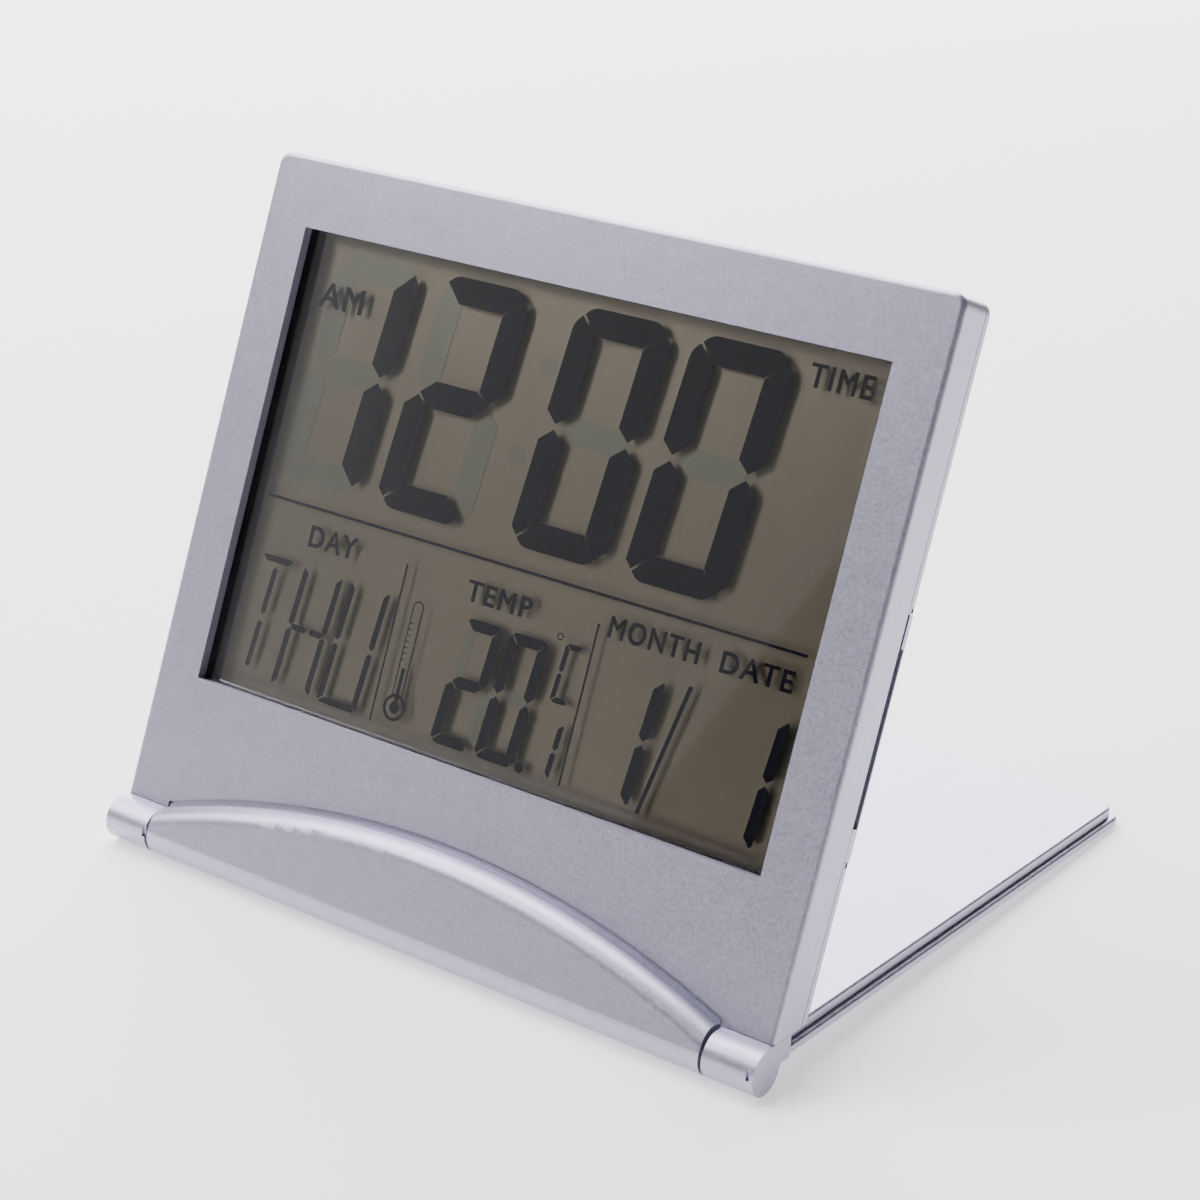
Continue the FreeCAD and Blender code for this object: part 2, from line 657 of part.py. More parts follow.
def make_cover_outer_shell():
    """The top sheet of the open stand, with the upper half of each knuckle."""
    body = new_body("cover_outer_shell")
    half = "(width/2 - cover_inset)"
    length = f"({cover_length} - cover_inset)"
    pad(body, "up", shell_low, "hinge_radius", rectangle(f"-{half}", half, "0", length))
    dress("PartDesign::Fillet", body, "cover_corner", free_corner)
    dress("PartDesign::Fillet", body, "cover_edge", far_rim("hinge_radius", length))
    pocket(body, "up", "-hinge_radius", "2*hinge_radius",
           crowned(knuckle_start, "-2*hinge_radius", "notch_gap"))
    skin_low = "(hinge_radius - cover_skin)"
    hollow_start = f"({crown_centre} + {crown_radius} + notch_gap + cover_rim)"
    pocket(body, "up", shell_low, skin_low,
           rectangle(f"cover_rim - {half}", f"{half} - cover_rim", hollow_start, f"{length} - cover_rim"))
    for start, end in ends_of_hinge(knuckle_start, half_width):
        pad(body, "right", start, end, half_knuckle(1))
    for start, end in ends_of_hinge(knuckle_start, half_width):
        pad(body, "right", start, end,
            polygon(("0", "0"), (tail_split, "0"), (tail_split, shell_low),
                    ("tail_length", shell_low), ("tail_length", "hinge_radius"), ("0", "hinge_radius")))
    for start, end in ends_of_hinge("width/2 - cheek", half_width):
        pad(body, "right", start, end,
            rectangle("0", "tail_length", "0", "hinge_radius"))
    bore_knuckles(body)
    # A small moulding relief at the right-hand end of each knuckle's front
    for right in (f"-1*{knuckle_start}", f"{half_width} - relief_width"):
        pocket(body, "back", "-hinge_radius", "relief_depth - hinge_radius",
               rectangle(f"{right} - relief_width", right, "0", "relief_rise"))
    return body


def make_cover_inner_panel():
    """The bottom sheet of the open stand, with the lower half of each knuckle."""
    body = new_body("cover_inner_panel")
    half = half_width
    pad(body, "up", underside, panel_top, rectangle(f"-{half}", half, "tail_length", cover_length))
    dress("PartDesign::Fillet", body, "cover_corner", free_corner)
    dress("PartDesign::Fillet", body, "sole_round", far_rim(underside, cover_length))
    dress("PartDesign::Fillet", body, "panel_round", far_rim(panel_top, cover_length))
    posts = [(f"{side}*post_across", up) for side in (-1, 1) for up in ("post_near", "post_far")]
    pad(body, "up", panel_top, "(hinge_radius - cover_skin)", circles("post_radius", *posts))
    pocket(body, "up", "-hinge_radius", "2*hinge_radius",
           crowned(knuckle_start, "-2*hinge_radius", "notch_gap"))
    for start, end in ends_of_hinge(knuckle_start, half_width):
        pad(body, "right", start, end, half_knuckle(-1))
        pad(body, "right", start, end, tail_web)
    for start, end in ends_of_hinge(knuckle_start, "width/2 - cheek - door_play/2"):
        pad(body, "right", start, end,
            rectangle(f"{tail_split} + panel_seam", "tail_length + cheek", "0", panel_top))
    bore_knuckles(body)
    return body


def ends_of_hinge(inner, outer):
    """The spans of the left and the right knuckle between two distances from the middle."""
    return [(f"-1*({outer})", f"-1*({inner})"), (inner, outer)]


def half_knuckle(side):
    """A half disc about the hinge axis, above it (1) or below it (-1)."""
    def draw(sketch):
        radius = value("hinge_radius")
        ends = [V(radius*side, 0, 0), V(-radius*side, 0, 0)]
        sketch.addGeometry(Part.Arc(ends[0], V(0, radius*side, 0), ends[1]))
        sketch.addGeometry(Part.LineSegment(ends[1], ends[0]))
        sketch.addConstraint(Sketcher.Constraint("Coincident", 0, 3, -1, 1))
        sketch.addConstraint(Sketcher.Constraint("Coincident", 0, 1, 1, 2 if side > 0 else 1))
        sketch.addConstraint(Sketcher.Constraint("Coincident", 0, 2, 1, 1 if side > 0 else 2))
        sketch.addConstraint(Sketcher.Constraint("Horizontal", 1))
        bind(sketch, "Radius", 0, size="hinge_radius")
    return draw


def tail_web(sketch):
    """Fills in behind the knuckle with a hollow curve, tangent to it, up to the sheet's underside."""
    centre_up = f"({underside} - tail_fillet)"
    away = f"sqrt((hinge_radius + tail_fillet)^2 - {centre_up}^2)"
    share = "hinge_radius/(hinge_radius + tail_fillet)"
    low = (f"{away}*{share}", f"{centre_up}*{share}")
    high = (f"{away} - sqrt(tail_fillet^2 - {centre_up}^2)", "0")
    start, end = (V(value(across), value(up), 0) for across, up in (high, low))
    centre = V(value(away), value(centre_up), 0)
    midway = (start + end)*0.5 - centre
    midway.normalize()
    sketch.addGeometry(Part.Arc(start, centre + midway*value("tail_fillet"), end))
    sketch.addGeometry(Part.LineSegment(end, V(0, 0, 0)))
    sketch.addGeometry(Part.LineSegment(V(0, 0, 0), start))
    sketch.addConstraint(Sketcher.Constraint("Coincident", 0, 2, 1, 1))
    sketch.addConstraint(Sketcher.Constraint("Coincident", 1, 2, 2, 1))
    sketch.addConstraint(Sketcher.Constraint("Coincident", 2, 2, 0, 1))
    sketch.addConstraint(Sketcher.Constraint("Coincident", 1, 2, -1, 1))
    pin_point(sketch, 0, 1, *high)
    pin_point(sketch, 0, 2, *low)
    bind(sketch, "Radius", 0, size="tail_fillet")


def bore_knuckles(body):
    for start, end in ends_of_hinge(knuckle_start, f"{knuckle_start} + pin_in_knuckle"):
        pocket(body, "right", start, end, circles("pin_radius", ("0", "0")))


def make_hinge_pin(label, side):
    body = new_body(label)
    inner = "(bow_half - pin_in_bow + knuckle_gap)"
    outer = f"({knuckle_start} + pin_in_knuckle)"
    start, end = (inner, outer) if side > 0 else (f"-1*{outer}", f"-1*{inner}")
    pad(body, "right", start, end, circles("pin_radius", ("0", "0")))
    dress("PartDesign::Chamfer", body, "pin_radius/5",
          lambda e: lies_at(e, 0, start) or lies_at(e, 0, end))
    return body


# ---------------------------------------------------------------- assembly

def make_display_unit():
    rear_spots = [(f"{side}*{screw_across}", up) for side in (-1, 1) for up in ("screw_low", screw_high)]
    bow_spots = [(f"{side}*bow_screw_spread", bow_screw_rise) for side in (-1, 1)]
    make_front_housing()
    make_rear_housing()
    make_hinge_bow()
    make_window_lens()
    make_lcd_frame()
    make_glass("lcd_front_glass", glass_front, glass_middle, "0")
    make_glass("lcd_rear_glass", glass_middle, glass_back, "ledge")
    make_glass("lcd_reflector", glass_back, reflector_back, "ledge")
    make_zebra_strip("zebra_strip_lower", "window_low - glass_rise + strip_edge", board_right)
    make_zebra_strip("zebra_strip_upper", f"{window_top} + glass_rise - strip_edge - strip_thick",
                     window_half)
    make_main_board()
    make_clock_chip()
    make_board_parts()
    make_leaded_part("quartz_crystal", "crystal_radius", "crystal_length", "crystal_across")
    make_leaded_part("temperature_sensor", "sensor_radius", "sensor_length",
                     "((air_left + air_right)/2)")
    make_buzzer()
    make_keypad_contacts()
    make_battery_holder()
    make_contacts()
    make_coin_cell()
    make_battery_door()
    make_buttons()
    make_screws("housing_screws", rear_face, rear_spots)
    make_screws("bow_screws", f"({wall_back} + screw_head_thick)", bow_spots)


def make_cover():
    make_cover_outer_shell()
    make_cover_inner_panel()
    make_hinge_pin("hinge_pin_left", -1)
    make_hinge_pin("hinge_pin_right", 1)


def place(bodies, turn, base):
    for body in bodies:
        body.Placement = FreeCAD.Placement(base, FreeCAD.Rotation(V(1, 0, 0), turn))


def check(bodies):
    failed = [obj.Label for obj in doc.Objects if {"Invalid", "Error"} & set(obj.State)]
    if failed:
        raise RuntimeError(f"failed objects: {failed}")
    for body in bodies:
        if body.Shape.isNull() or not body.Shape.isValid():
            raise RuntimeError(f"{body.Label} has a bad shape")


def all_bodies():
    return [obj for obj in doc.Objects if obj.TypeId == "PartDesign::Body"]


make_display_unit()
display_bodies = all_bodies()
make_cover()
cover_bodies = [body for body in all_bodies() if body not in display_bodies]
doc.recompute()

# The clock stands on its barrel and on the cover's far lower edge, so the cover slopes down
radius, sole, rounding = value("hinge_radius"), value("sole_round"), value("panel_round")
back, up = value(f"{cover_length} - sole_round"), value(f"{underside} + sole_round")
tilt = math.degrees(math.asin((radius - sole)/math.hypot(back, up)) + math.atan2(up, back))
far_edge = (value(f"{cover_length} - panel_round")*math.cos(math.radians(tilt))
            + value(f"{panel_top} - panel_round")*math.sin(math.radians(tilt)) + rounding)
origin = V(0, (radius - far_edge)/2, radius)
place(cover_bodies, -tilt, origin)
place(display_bodies, value("lean") - 90 - tilt, origin)
doc.recompute()
check(all_bodies())

os.makedirs("parts", exist_ok=True)
for body in all_bodies():
    body.Shape.exportStep(f"parts/{body.Label}.step")
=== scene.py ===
"""Finishes, readout and studio of a folding LCD alarm clock, laid out as a Blender add-on."""

import collections
import json
import math

import bmesh
import bpy
from bpy.props import FloatProperty, FloatVectorProperty, PointerProperty
from mathutils import Euler, Matrix, Vector


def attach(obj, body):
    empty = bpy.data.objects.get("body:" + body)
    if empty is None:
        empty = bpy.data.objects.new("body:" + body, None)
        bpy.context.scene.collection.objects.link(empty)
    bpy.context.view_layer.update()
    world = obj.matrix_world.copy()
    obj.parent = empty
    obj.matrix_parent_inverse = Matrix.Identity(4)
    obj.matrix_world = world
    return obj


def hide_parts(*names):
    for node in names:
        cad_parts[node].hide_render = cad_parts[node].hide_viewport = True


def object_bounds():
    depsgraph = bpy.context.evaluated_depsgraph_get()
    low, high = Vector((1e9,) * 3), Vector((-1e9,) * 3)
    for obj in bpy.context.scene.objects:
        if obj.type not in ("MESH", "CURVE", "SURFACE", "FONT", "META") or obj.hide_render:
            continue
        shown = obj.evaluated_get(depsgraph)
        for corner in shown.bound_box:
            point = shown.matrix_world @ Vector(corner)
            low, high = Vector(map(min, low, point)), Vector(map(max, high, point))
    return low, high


bl_info = {
    "name": "Folding Alarm Clock",
    "version": (1, 0, 0),
    "blender": (4, 5, 0),
    "location": "3D View > Sidebar > Alarm Clock",
    "description": "Finishes, readout and studio of a folding LCD alarm clock",
    "category": "Object",
}

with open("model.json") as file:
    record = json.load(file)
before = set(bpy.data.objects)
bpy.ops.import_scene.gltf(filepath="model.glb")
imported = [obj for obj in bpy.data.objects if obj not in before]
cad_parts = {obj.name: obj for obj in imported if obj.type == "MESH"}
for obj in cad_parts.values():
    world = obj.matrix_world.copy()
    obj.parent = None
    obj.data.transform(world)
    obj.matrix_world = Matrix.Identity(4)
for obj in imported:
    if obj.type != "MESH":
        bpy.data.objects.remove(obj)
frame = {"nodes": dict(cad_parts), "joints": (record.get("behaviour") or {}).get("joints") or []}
CAD_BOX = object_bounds()
NODES = frame["nodes"]
JOINTS = {joint["name"]: joint for joint in frame["joints"]}
MM = 0.001


# ---------------------------------------------------------------- places taken from the frame

def display_axes():
    """The display unit's own axes: X across, Y into its depth, Z up its face, from the hinge."""
    depth = -Vector(JOINTS["mode_press"]["axis"]).normalized()
    across = Vector((1, 0, 0))
    turn = Matrix((across, depth, across.cross(depth))).transposed().to_4x4()
    return Matrix.Translation(JOINTS["cover_hinge"]["pos_m"]) @ turn


DISPLAY = display_axes()


def display_box(node):
    """Lowest and highest corner of a node in the display unit's axes."""
    back = DISPLAY.inverted()
    spots = [back @ vertex.co for vertex in NODES[node].data.vertices]
    low = Vector(min(spot[axis] for spot in spots) for axis in range(3))
    high = Vector(max(spot[axis] for spot in spots) for axis in range(3))
    return low, high


GLASS_FRONT = display_box("lcd_front_glass")[0].y
REAR_FACE = display_box("rear_housing")[1].y
FILM_FRONT = display_box("lcd_reflector")[0].y
LEAN = DISPLAY.to_euler().x             # of the display unit, which its board's pattern follows
CELL_PLAY = 0.06 * MM                   # between the display's rear glass and the film


# ---------------------------------------------------------------- values a user would change

def length(name, note, default):
    """A property in metres."""
    return FloatProperty(name=name, description=note, default=default, min=0, precision=5,
                         unit="LENGTH")


def colour(name, note, default):
    """A linear colour property."""
    return FloatVectorProperty(name=name, description=note, default=default, size=3, min=0, max=1,
                               subtype="COLOR")


def factor(name, note, default):
    """A property from 0 to 1."""
    return FloatProperty(name=name, description=note, default=default, min=0, max=1,
                         subtype="FACTOR")


class ReadoutSettings(bpy.types.PropertyGroup):
    """Sizes of the dark marks that the display shows."""

    slant: factor("Slant", "Sideways lean of the figures for each unit of height", 0.07)
    ink: length("Ink thickness", "Thickness of each dark mark", 0.03 * MM)
    time_height: length("Time height", "Height of the hour and minute figures", 33.55 * MM)
    time_width: length("Time width", "Width of the hour and minute figures", 15.8 * MM)
    time_stroke: length("Time stroke", "Upright stroke of the hour and minute figures", 3.95 * MM)
    small_height: length("Small height", "Height of the figures in the lower row", 17.85 * MM)
    small_width: length("Small width", "Width of the temperature figures", 6.7 * MM)
    small_stroke: length("Small stroke", "Upright stroke of the temperature figures", 1.6 * MM)
    letter_width: length("Letter width", "Width of the weekday letters", 7.2 * MM)
    letter_stroke: length("Letter stroke", "Stroke of the weekday letters", 0.95 * MM)
    rule: length("Rule thickness", "Thickness of the rule between the two rows", 0.4 * MM)
    fine_rule: length("Fine rule thickness", "Thickness of the rules in the lower row", 0.3 * MM)


class FinishSettings(bpy.types.PropertyGroup):
    """Colours and gloss of the clock's materials."""

    silver: colour("Silver", "Silver lacquer of the front and the cover", (0.39, 0.372, 0.49))
    silver_rear: colour("Rear silver", "Silver lacquer of the rear case", (0.42, 0.405, 0.51))
    silver_roughness: factor("Silver roughness", "Roughness of the silver lacquer", 0.37)
    reflector: colour("Reflector", "Olive grey film behind the display", (0.395, 0.345, 0.265))
    reflector_roughness: factor("Reflector roughness", "Satin of the film", 0.34)
    ink: colour("Ink", "Segments that are switched on", (0.006, 0.004, 0.022))
    # Painted shadow: colour of the marks that the switched-off segments' shadows leave on the film, a
    # little darker than the film.
    idle_shadow: colour("Idle ink", "Segments that are switched off", (0.335, 0.335, 0.268))
    button: colour("Buttons", "Plastic of the push buttons", (0.30, 0.30, 0.33))


class StudioSettings(bpy.types.PropertyGroup):
    """Floor, lamps and camera."""

    camera_place: FloatVectorProperty(name="Camera place", description="Where the camera stands",
                                      default=(0.20772, -0.30306, 0.18288), subtype="TRANSLATION",
                                      unit="LENGTH", precision=5)
    camera_turn: FloatVectorProperty(name="Camera turn", description="How the camera is turned",
                                     default=tuple(map(math.radians, (68.33, -2.11, 36.07))),
                                     subtype="EULER", unit="ROTATION")
    camera_lens: FloatProperty(name="Camera lens", description="Focal length in millimetres",
                               default=82.31, min=1)
    floor_size: length("Floor size", "Side of the square floor", 8.0)
    floor_tone: colour("Floor tone", "Pale paint of the floor", (0.86, 0.86, 0.865))
    floor_glow: FloatProperty(name="Floor glow", description="Light that the floor itself sends",
                              default=1.0, min=0)
    sky: FloatProperty(name="Sky", description="Strength of the even light all round",
                       default=0.05, min=0)
    key: FloatProperty(name="Key lamp", description="Power of the soft lamp on the left",
                       default=7.0, min=0, subtype="POWER")
    back: FloatProperty(name="Back card", description="Power of the bright card behind",
                        default=46.0, min=0, subtype="POWER")
    card: FloatProperty(name="Left card", description="Power of the dim card the window mirrors",
                        default=0.85, min=0, subtype="POWER")
    top: FloatProperty(name="Top lamp", description="Power of the soft lamp overhead",
                       default=26.0, min=0, subtype="POWER")


# ---------------------------------------------------------------- shader maths

class Value:
    """A socket of a finish, on which Python arithmetic can be written."""

    def __init__(self, finish, socket):
        self.finish = finish
        self.socket = socket

    def math(self, operation, first, second):
        """A new value from two numbers or values."""
        return self.finish.node("Math", {"operation": operation}, {0: first, 1: second})

    def __add__(self, other):
        return self.math("ADD", self, other)

    def __sub__(self, other):
        return self.math("SUBTRACT", self, other)

    def __rsub__(self, other):
        return self.math("SUBTRACT", other, self)

    def __mul__(self, other):
        return self.math("MULTIPLY", self, other)

    __radd__ = __add__
    __rmul__ = __mul__


class Finish:
    """A material under construction: its shader and the nodes that feed it."""

    def __init__(self, name, constants):
        """Starts from the plain shader; a material that already has the name gives it up."""
        plain = bpy.data.materials.get(name)
        if plain:
            plain.name = name + "_plain"
        self.material = bpy.data.materials.new(name)
        self.material.use_nodes = True
        self.tree = self.material.node_tree
        self.shader = self.tree.nodes["Principled BSDF"]
        self.set(constants)

    def set(self, sockets):
        """Feeds the shader's own sockets with numbers, colours or values."""
        for name, value in sockets.items():
            self.feed(self.shader.inputs[name], value)

    def feed(self, socket, value):
        """Links a value to a socket, or sets the socket to a constant."""
        if isinstance(value, Value):
            self.tree.links.new(value.socket, socket)
        else:
            socket.default_value = value

    def node(self, kind, settings=None, sockets=None, out=0):
        """Any other node: its settings first, then what its sockets hold."""
        made = self.tree.nodes.new("ShaderNode" + kind)
        for name, value in (settings or {}).items():
            setattr(made, name, value)
        for name, value in (sockets or {}).items():
            self.feed(made.inputs[name], value)
        return Value(self, made.outputs[out])

    def place(self, stretch=(1, 1, 1), turn=(0, 0, 0)):
        """Object coordinates, turned and stretched."""
        spot = self.node("TexCoord", out="Object")
        return self.node("Mapping", sockets={"Vector": spot, "Scale": stretch, "Rotation": turn})

    def noise(self, scale, detail=2.0, place=None):
        """Cloudy values from 0 to 1, scale patches to a metre."""
        spot = place or self.place()
        return self.node("TexNoise", sockets={"Vector": spot, "Scale": scale, "Detail": detail})

    def cells(self, scale, place=None):
        """Distance from the nearest of scattered points, scale points to a metre."""
        spot = place or self.place()
        return self.node("TexVoronoi", sockets={"Vector": spot, "Scale": scale}, out="Distance")

    def spread(self, value, low, high):
        """Value eased to run from 0 at low to 1 at high."""
        return self.node("MapRange", {"interpolation_type": "SMOOTHSTEP"},
                         {"Value": value, "From Min": low, "From Max": high})

    def mix(self, share, first, second):
        """The first colour at share 0 and the second at share 1."""
        return self.node("Mix", {"data_type": "RGBA"}, {0: share, 6: first, 7: second}, out=2)

    def bump(self, height, distance, strength):
        """A normal that rises by distance where height is 1."""
        return self.node("Bump", sockets={"Height": height, "Distance": distance,
                                          "Strength": strength})

    def see_through(self, ior, roughness):
        """Swaps the shader for clear sheet: it shows what is behind it and mirrors by angle."""
        clear = self.node("BsdfTransparent")
        gloss = self.node("BsdfGlossy", sockets={"Roughness": roughness})
        share = self.node("Fresnel", sockets={"IOR": ior})
        sheet = self.node("MixShader", sockets={0: share, 1: clear, 2: gloss})
        self.tree.nodes.remove(self.shader)
        self.feed(self.tree.nodes["Material Output"].inputs["Surface"], sheet)


def paint(rgb, strength=1.0):
    """A colour socket's value, made lighter or darker by strength."""
    return (*(min(channel * strength, 1.0) for channel in rgb), 1.0)


# ---------------------------------------------------------------- finishes

def silver_lacquer(name, rgb, roughness):
    """Sprayed metal-flake lacquer: fine flakes, faint clouds and a rare dark speck."""
    finish = Finish(name, {"Metallic": 0.75, "Coat Roughness": 0.25, "Coat Weight": 0.1})
    flakes = finish.noise(scale=2300, detail=3)
    clouds = finish.noise(scale=260, detail=2)
    shade = (flakes - 0.5) * 0.95 + (clouds - 0.5) * 0.35 + 0.5
    lacquer = finish.mix(shade, paint(rgb, 0.80), paint(rgb, 1.18))
    speck_size = finish.cells(scale=95)
    speck = 1 - finish.spread(speck_size, low=0.012, high=0.022)
    finish.set({
        "Base Color": finish.mix(speck * 0.75, lacquer, paint(rgb, 0.22)),
        "Roughness": (flakes - 0.5) * 0.25 + roughness,
        "Normal": finish.bump(flakes * 0.7 + clouds * 0.3, 0.03 * MM, 0.35),
    })
    return finish.material


def lens_finish():
    """Clear moulded window."""
    finish = Finish("clear_lens", {})
    finish.see_through(ior=1.49, roughness=0.02)
    return finish.material


def glass_finish():
    """Display glass with its dulled polariser."""
    finish = Finish("display_glass", {})
    finish.see_through(ior=1.22, roughness=0.12)
    return finish.material


def reflector_finish(name, rgb, settings):
    """Olive satin film with a fine pearl grain."""
    finish = Finish(name, {"Metallic": 0.85})
    grain = finish.noise(scale=5200, detail=2)
    clouds = finish.noise(scale=35, detail=2)
    shade = (grain - 0.5) * 0.5 + (clouds - 0.5) * 0.3 + 0.5
    finish.set({
        "Base Color": finish.mix(shade, paint(rgb, 0.9), paint(rgb, 1.1)),
        "Roughness": (grain - 0.5) * 0.12 + settings.reflector_roughness,
        "Normal": finish.bump(grain, 0.004 * MM, 0.3),
    })
    return finish.material


def ink_finish(settings):
    """Dark liquid-crystal segments, a little uneven under the polariser, made only once."""
    made = bpy.data.materials.get("segment_ink")
    if made:
        return made
    finish = Finish("segment_ink", {"Roughness": 0.5, "Specular IOR Level": 0.2})
    clouds = finish.noise(scale=140, detail=2)
    rgb = settings.ink
    finish.set({"Base Color": finish.mix(clouds, paint(rgb, 0.7), paint(rgb, 1.3))})
    return finish.material


def moulded_plastic(name, rgb, roughness, grain_size=1800, depth=0.01 * MM):
    """Plastic from a spark-eroded mould, with a fine even grain."""
    finish = Finish(name, {"Specular IOR Level": 0.45})
    grain = finish.noise(scale=grain_size, detail=3)
    clouds = finish.noise(scale=160, detail=2)
    finish.set({
        "Base Color": finish.mix((clouds - 0.5) * 0.6 + 0.5, paint(rgb, 0.88), paint(rgb, 1.12)),
        "Roughness": (grain - 0.5) * 0.2 + roughness,
        "Normal": finish.bump(grain, depth, 0.5),
    })
    return finish.material


def brushed_metal(name, rgb, roughness, stretch):
    """Rolled or turned metal: fine lines along one direction and a few dull patches."""
    finish = Finish(name, {"Metallic": 1.0})
    lines = finish.noise(scale=900, detail=3, place=finish.place(stretch))
    patches = finish.noise(scale=300, detail=2)
    finish.set({
        "Base Color": finish.mix(lines, paint(rgb, 0.82), paint(rgb, 1.12)),
        "Roughness": (lines - 0.5) * 0.3 + (patches - 0.5) * 0.15 + roughness,
        "Normal": finish.bump(lines, 0.006 * MM, 0.4),
    })
    return finish.material


def contact_rubber():
    """Rubber with carbon layers, seen as fine bands across the strip."""
    finish = Finish("contact_rubber", {"Roughness": 0.7})
    band_pitch = 0.36 * MM
    across = finish.node("SeparateXYZ", sockets={"Vector": finish.place()})
    wave = finish.node("Math", {"operation": "SINE"}, {0: across * (2 * math.pi / band_pitch)})
    band = finish.spread(wave, low=-0.3, high=0.3)
    grain = finish.noise(scale=2500, detail=2)
    finish.set({
        "Base Color": finish.mix(band, paint((0.012, 0.012, 0.013)), paint((0.16, 0.155, 0.15))),
        "Normal": finish.bump(grain + band * 0.5, 0.01 * MM, 0.4),
    })
    return finish.material


def board_laminate():
    """Green solder mask over copper runs and round plated holes."""
    finish = Finish("board_laminate", {"Coat Weight": 0.3, "Coat Roughness": 0.2})
    flat = finish.place((1, 1, 1), (-LEAN, 0, 0))
    runs = finish.node("TexBrick", {"offset": 0.5},
                       {"Vector": finish.place((1, 1, 1), (-LEAN - math.pi / 2, 0, 0)),
                        "Scale": 130, "Mortar Size": 0.09, "Mortar Smooth": 0.1,
                        "Row Height": 0.25, "Brick Width": 1.7}, out="Fac")
    holes = finish.cells(scale=210, place=flat)
    plated = 1 - finish.spread(holes, low=0.10, high=0.13)
    weave = finish.noise(scale=1500, detail=2, place=flat)
    mask = finish.mix(weave, paint((0.008, 0.075, 0.030)), paint((0.014, 0.105, 0.042)))
    traced = finish.mix(runs, mask, paint((0.04, 0.17, 0.06)))
    finish.set({
        "Base Color": finish.mix(plated, traced, paint((0.72, 0.60, 0.36))),
        "Metallic": plated * 0.9,
        "Roughness": 0.45 - plated * 0.15,
        "Normal": finish.bump(runs * 0.7 + plated + weave * 0.1, 0.03 * MM, 0.5),
    })
    return finish.material


def ceramic_parts():
    """Small ceramic blocks with tinned end caps that repeat along them."""
    finish = Finish("component_ceramic", {})
    grain = finish.noise(scale=4000, detail=2)
    caps = finish.spread(finish.noise(scale=700, detail=0), low=0.5, high=0.56)
    finish.set({
        "Base Color": finish.mix(caps, paint((0.24, 0.17, 0.11)), paint((0.72, 0.72, 0.74))),
        "Metallic": caps * 0.9,
        "Roughness": (grain - 0.5) * 0.2 + 0.4,
        "Normal": finish.bump(grain, 0.01 * MM, 0.4),
    })
    return finish.material


def paint_node(names, material):
    """Gives every slot of the named nodes the material."""
    for name in names:
        slots = NODES[name].data.materials
        for index in range(len(slots)):
            slots[index] = material


# ---------------------------------------------------------------- flat marks of the display

Figure = collections.namedtuple("Figure", "width height stroke bar cut gap tip rise")
Figure.__doc__ = """Sizes of a seven-segment figure: the cell's width and height, the upright stroke, the
level bar, the cut of the outer corners, the gap between segments, the half gap at the waist and the
rise of the strokes' points there."""


def mirrored(outline, width):
    """The outline with left and right swapped inside a cell of that width."""
    return [(width - across, up) for across, up in outline]


def turned_over(outline, height):
    """The outline with top and bottom swapped inside a cell of that height."""
    return [(across, height - up) for across, up in outline]


def lozenge(start, end, width, point):
    """A bar from start to end with a pointed tip at each end."""
    start, end = Vector(start), Vector(end)
    along = (end - start).normalized()
    side = Vector((-along.y, along.x)) * (width / 2)
    inner = along * point
    return [tuple(corner) for corner in (start, start + inner + side, end - inner + side, end,
                                         end - inner - side, start + inner - side)]


def segment_outlines(figure):
    """Outlines of segments a to g, from the lower left corner of the figure's cell."""
    wide, tall, stroke, bar, cut, gap, tip, rise = figure
    waist = tall / 2 + tip
    top = [((cut + gap) / 2, tall - (cut - gap) / 2), (cut, tall), (wide - cut, tall),
           (wide - (cut + gap) / 2, tall - (cut - gap) / 2),
           (wide - stroke - gap, tall - bar), (stroke + gap, tall - bar)]
    left = [((cut - gap) / 2, tall - (cut + gap) / 2), (0, tall - cut), (0, waist + rise),
            (stroke / 2, waist), (stroke, waist + rise), (stroke, tall - bar - gap)]
    inset = stroke / 2 + gap / 2
    middle = lozenge((inset, tall / 2), (wide - inset, tall / 2), bar, bar / 2 * stroke / 2 / rise)
    return {
        "a": top, "b": mirrored(left, wide), "c": mirrored(turned_over(left, tall), wide),
        "d": turned_over(top, tall), "e": turned_over(left, tall), "f": left, "g": middle,
    }


DIGITS = {"0": "abcdef", "1": "bc", "2": "abged", "C": "adef"}
ALL_SEGMENTS = "abcdefg"
SMALL_SIDES = 32            # of a disc or the degree ring
LARGE_SIDES = 48            # of the thermometer's bulb


CORNER_SHARE = 0.35         # of a figure's cut, that its outer corners are rounded by
LETTER_SPREAD = 1.16        # room between the letters of a word, 1 being the typeface's own
LETTER_WEIGHT = 0.024       # growth of the strokes on either side, for letters 1 high
SHARPEST = 0.5              # lowest divisor at a corner, so that a sharp one isn't drawn out


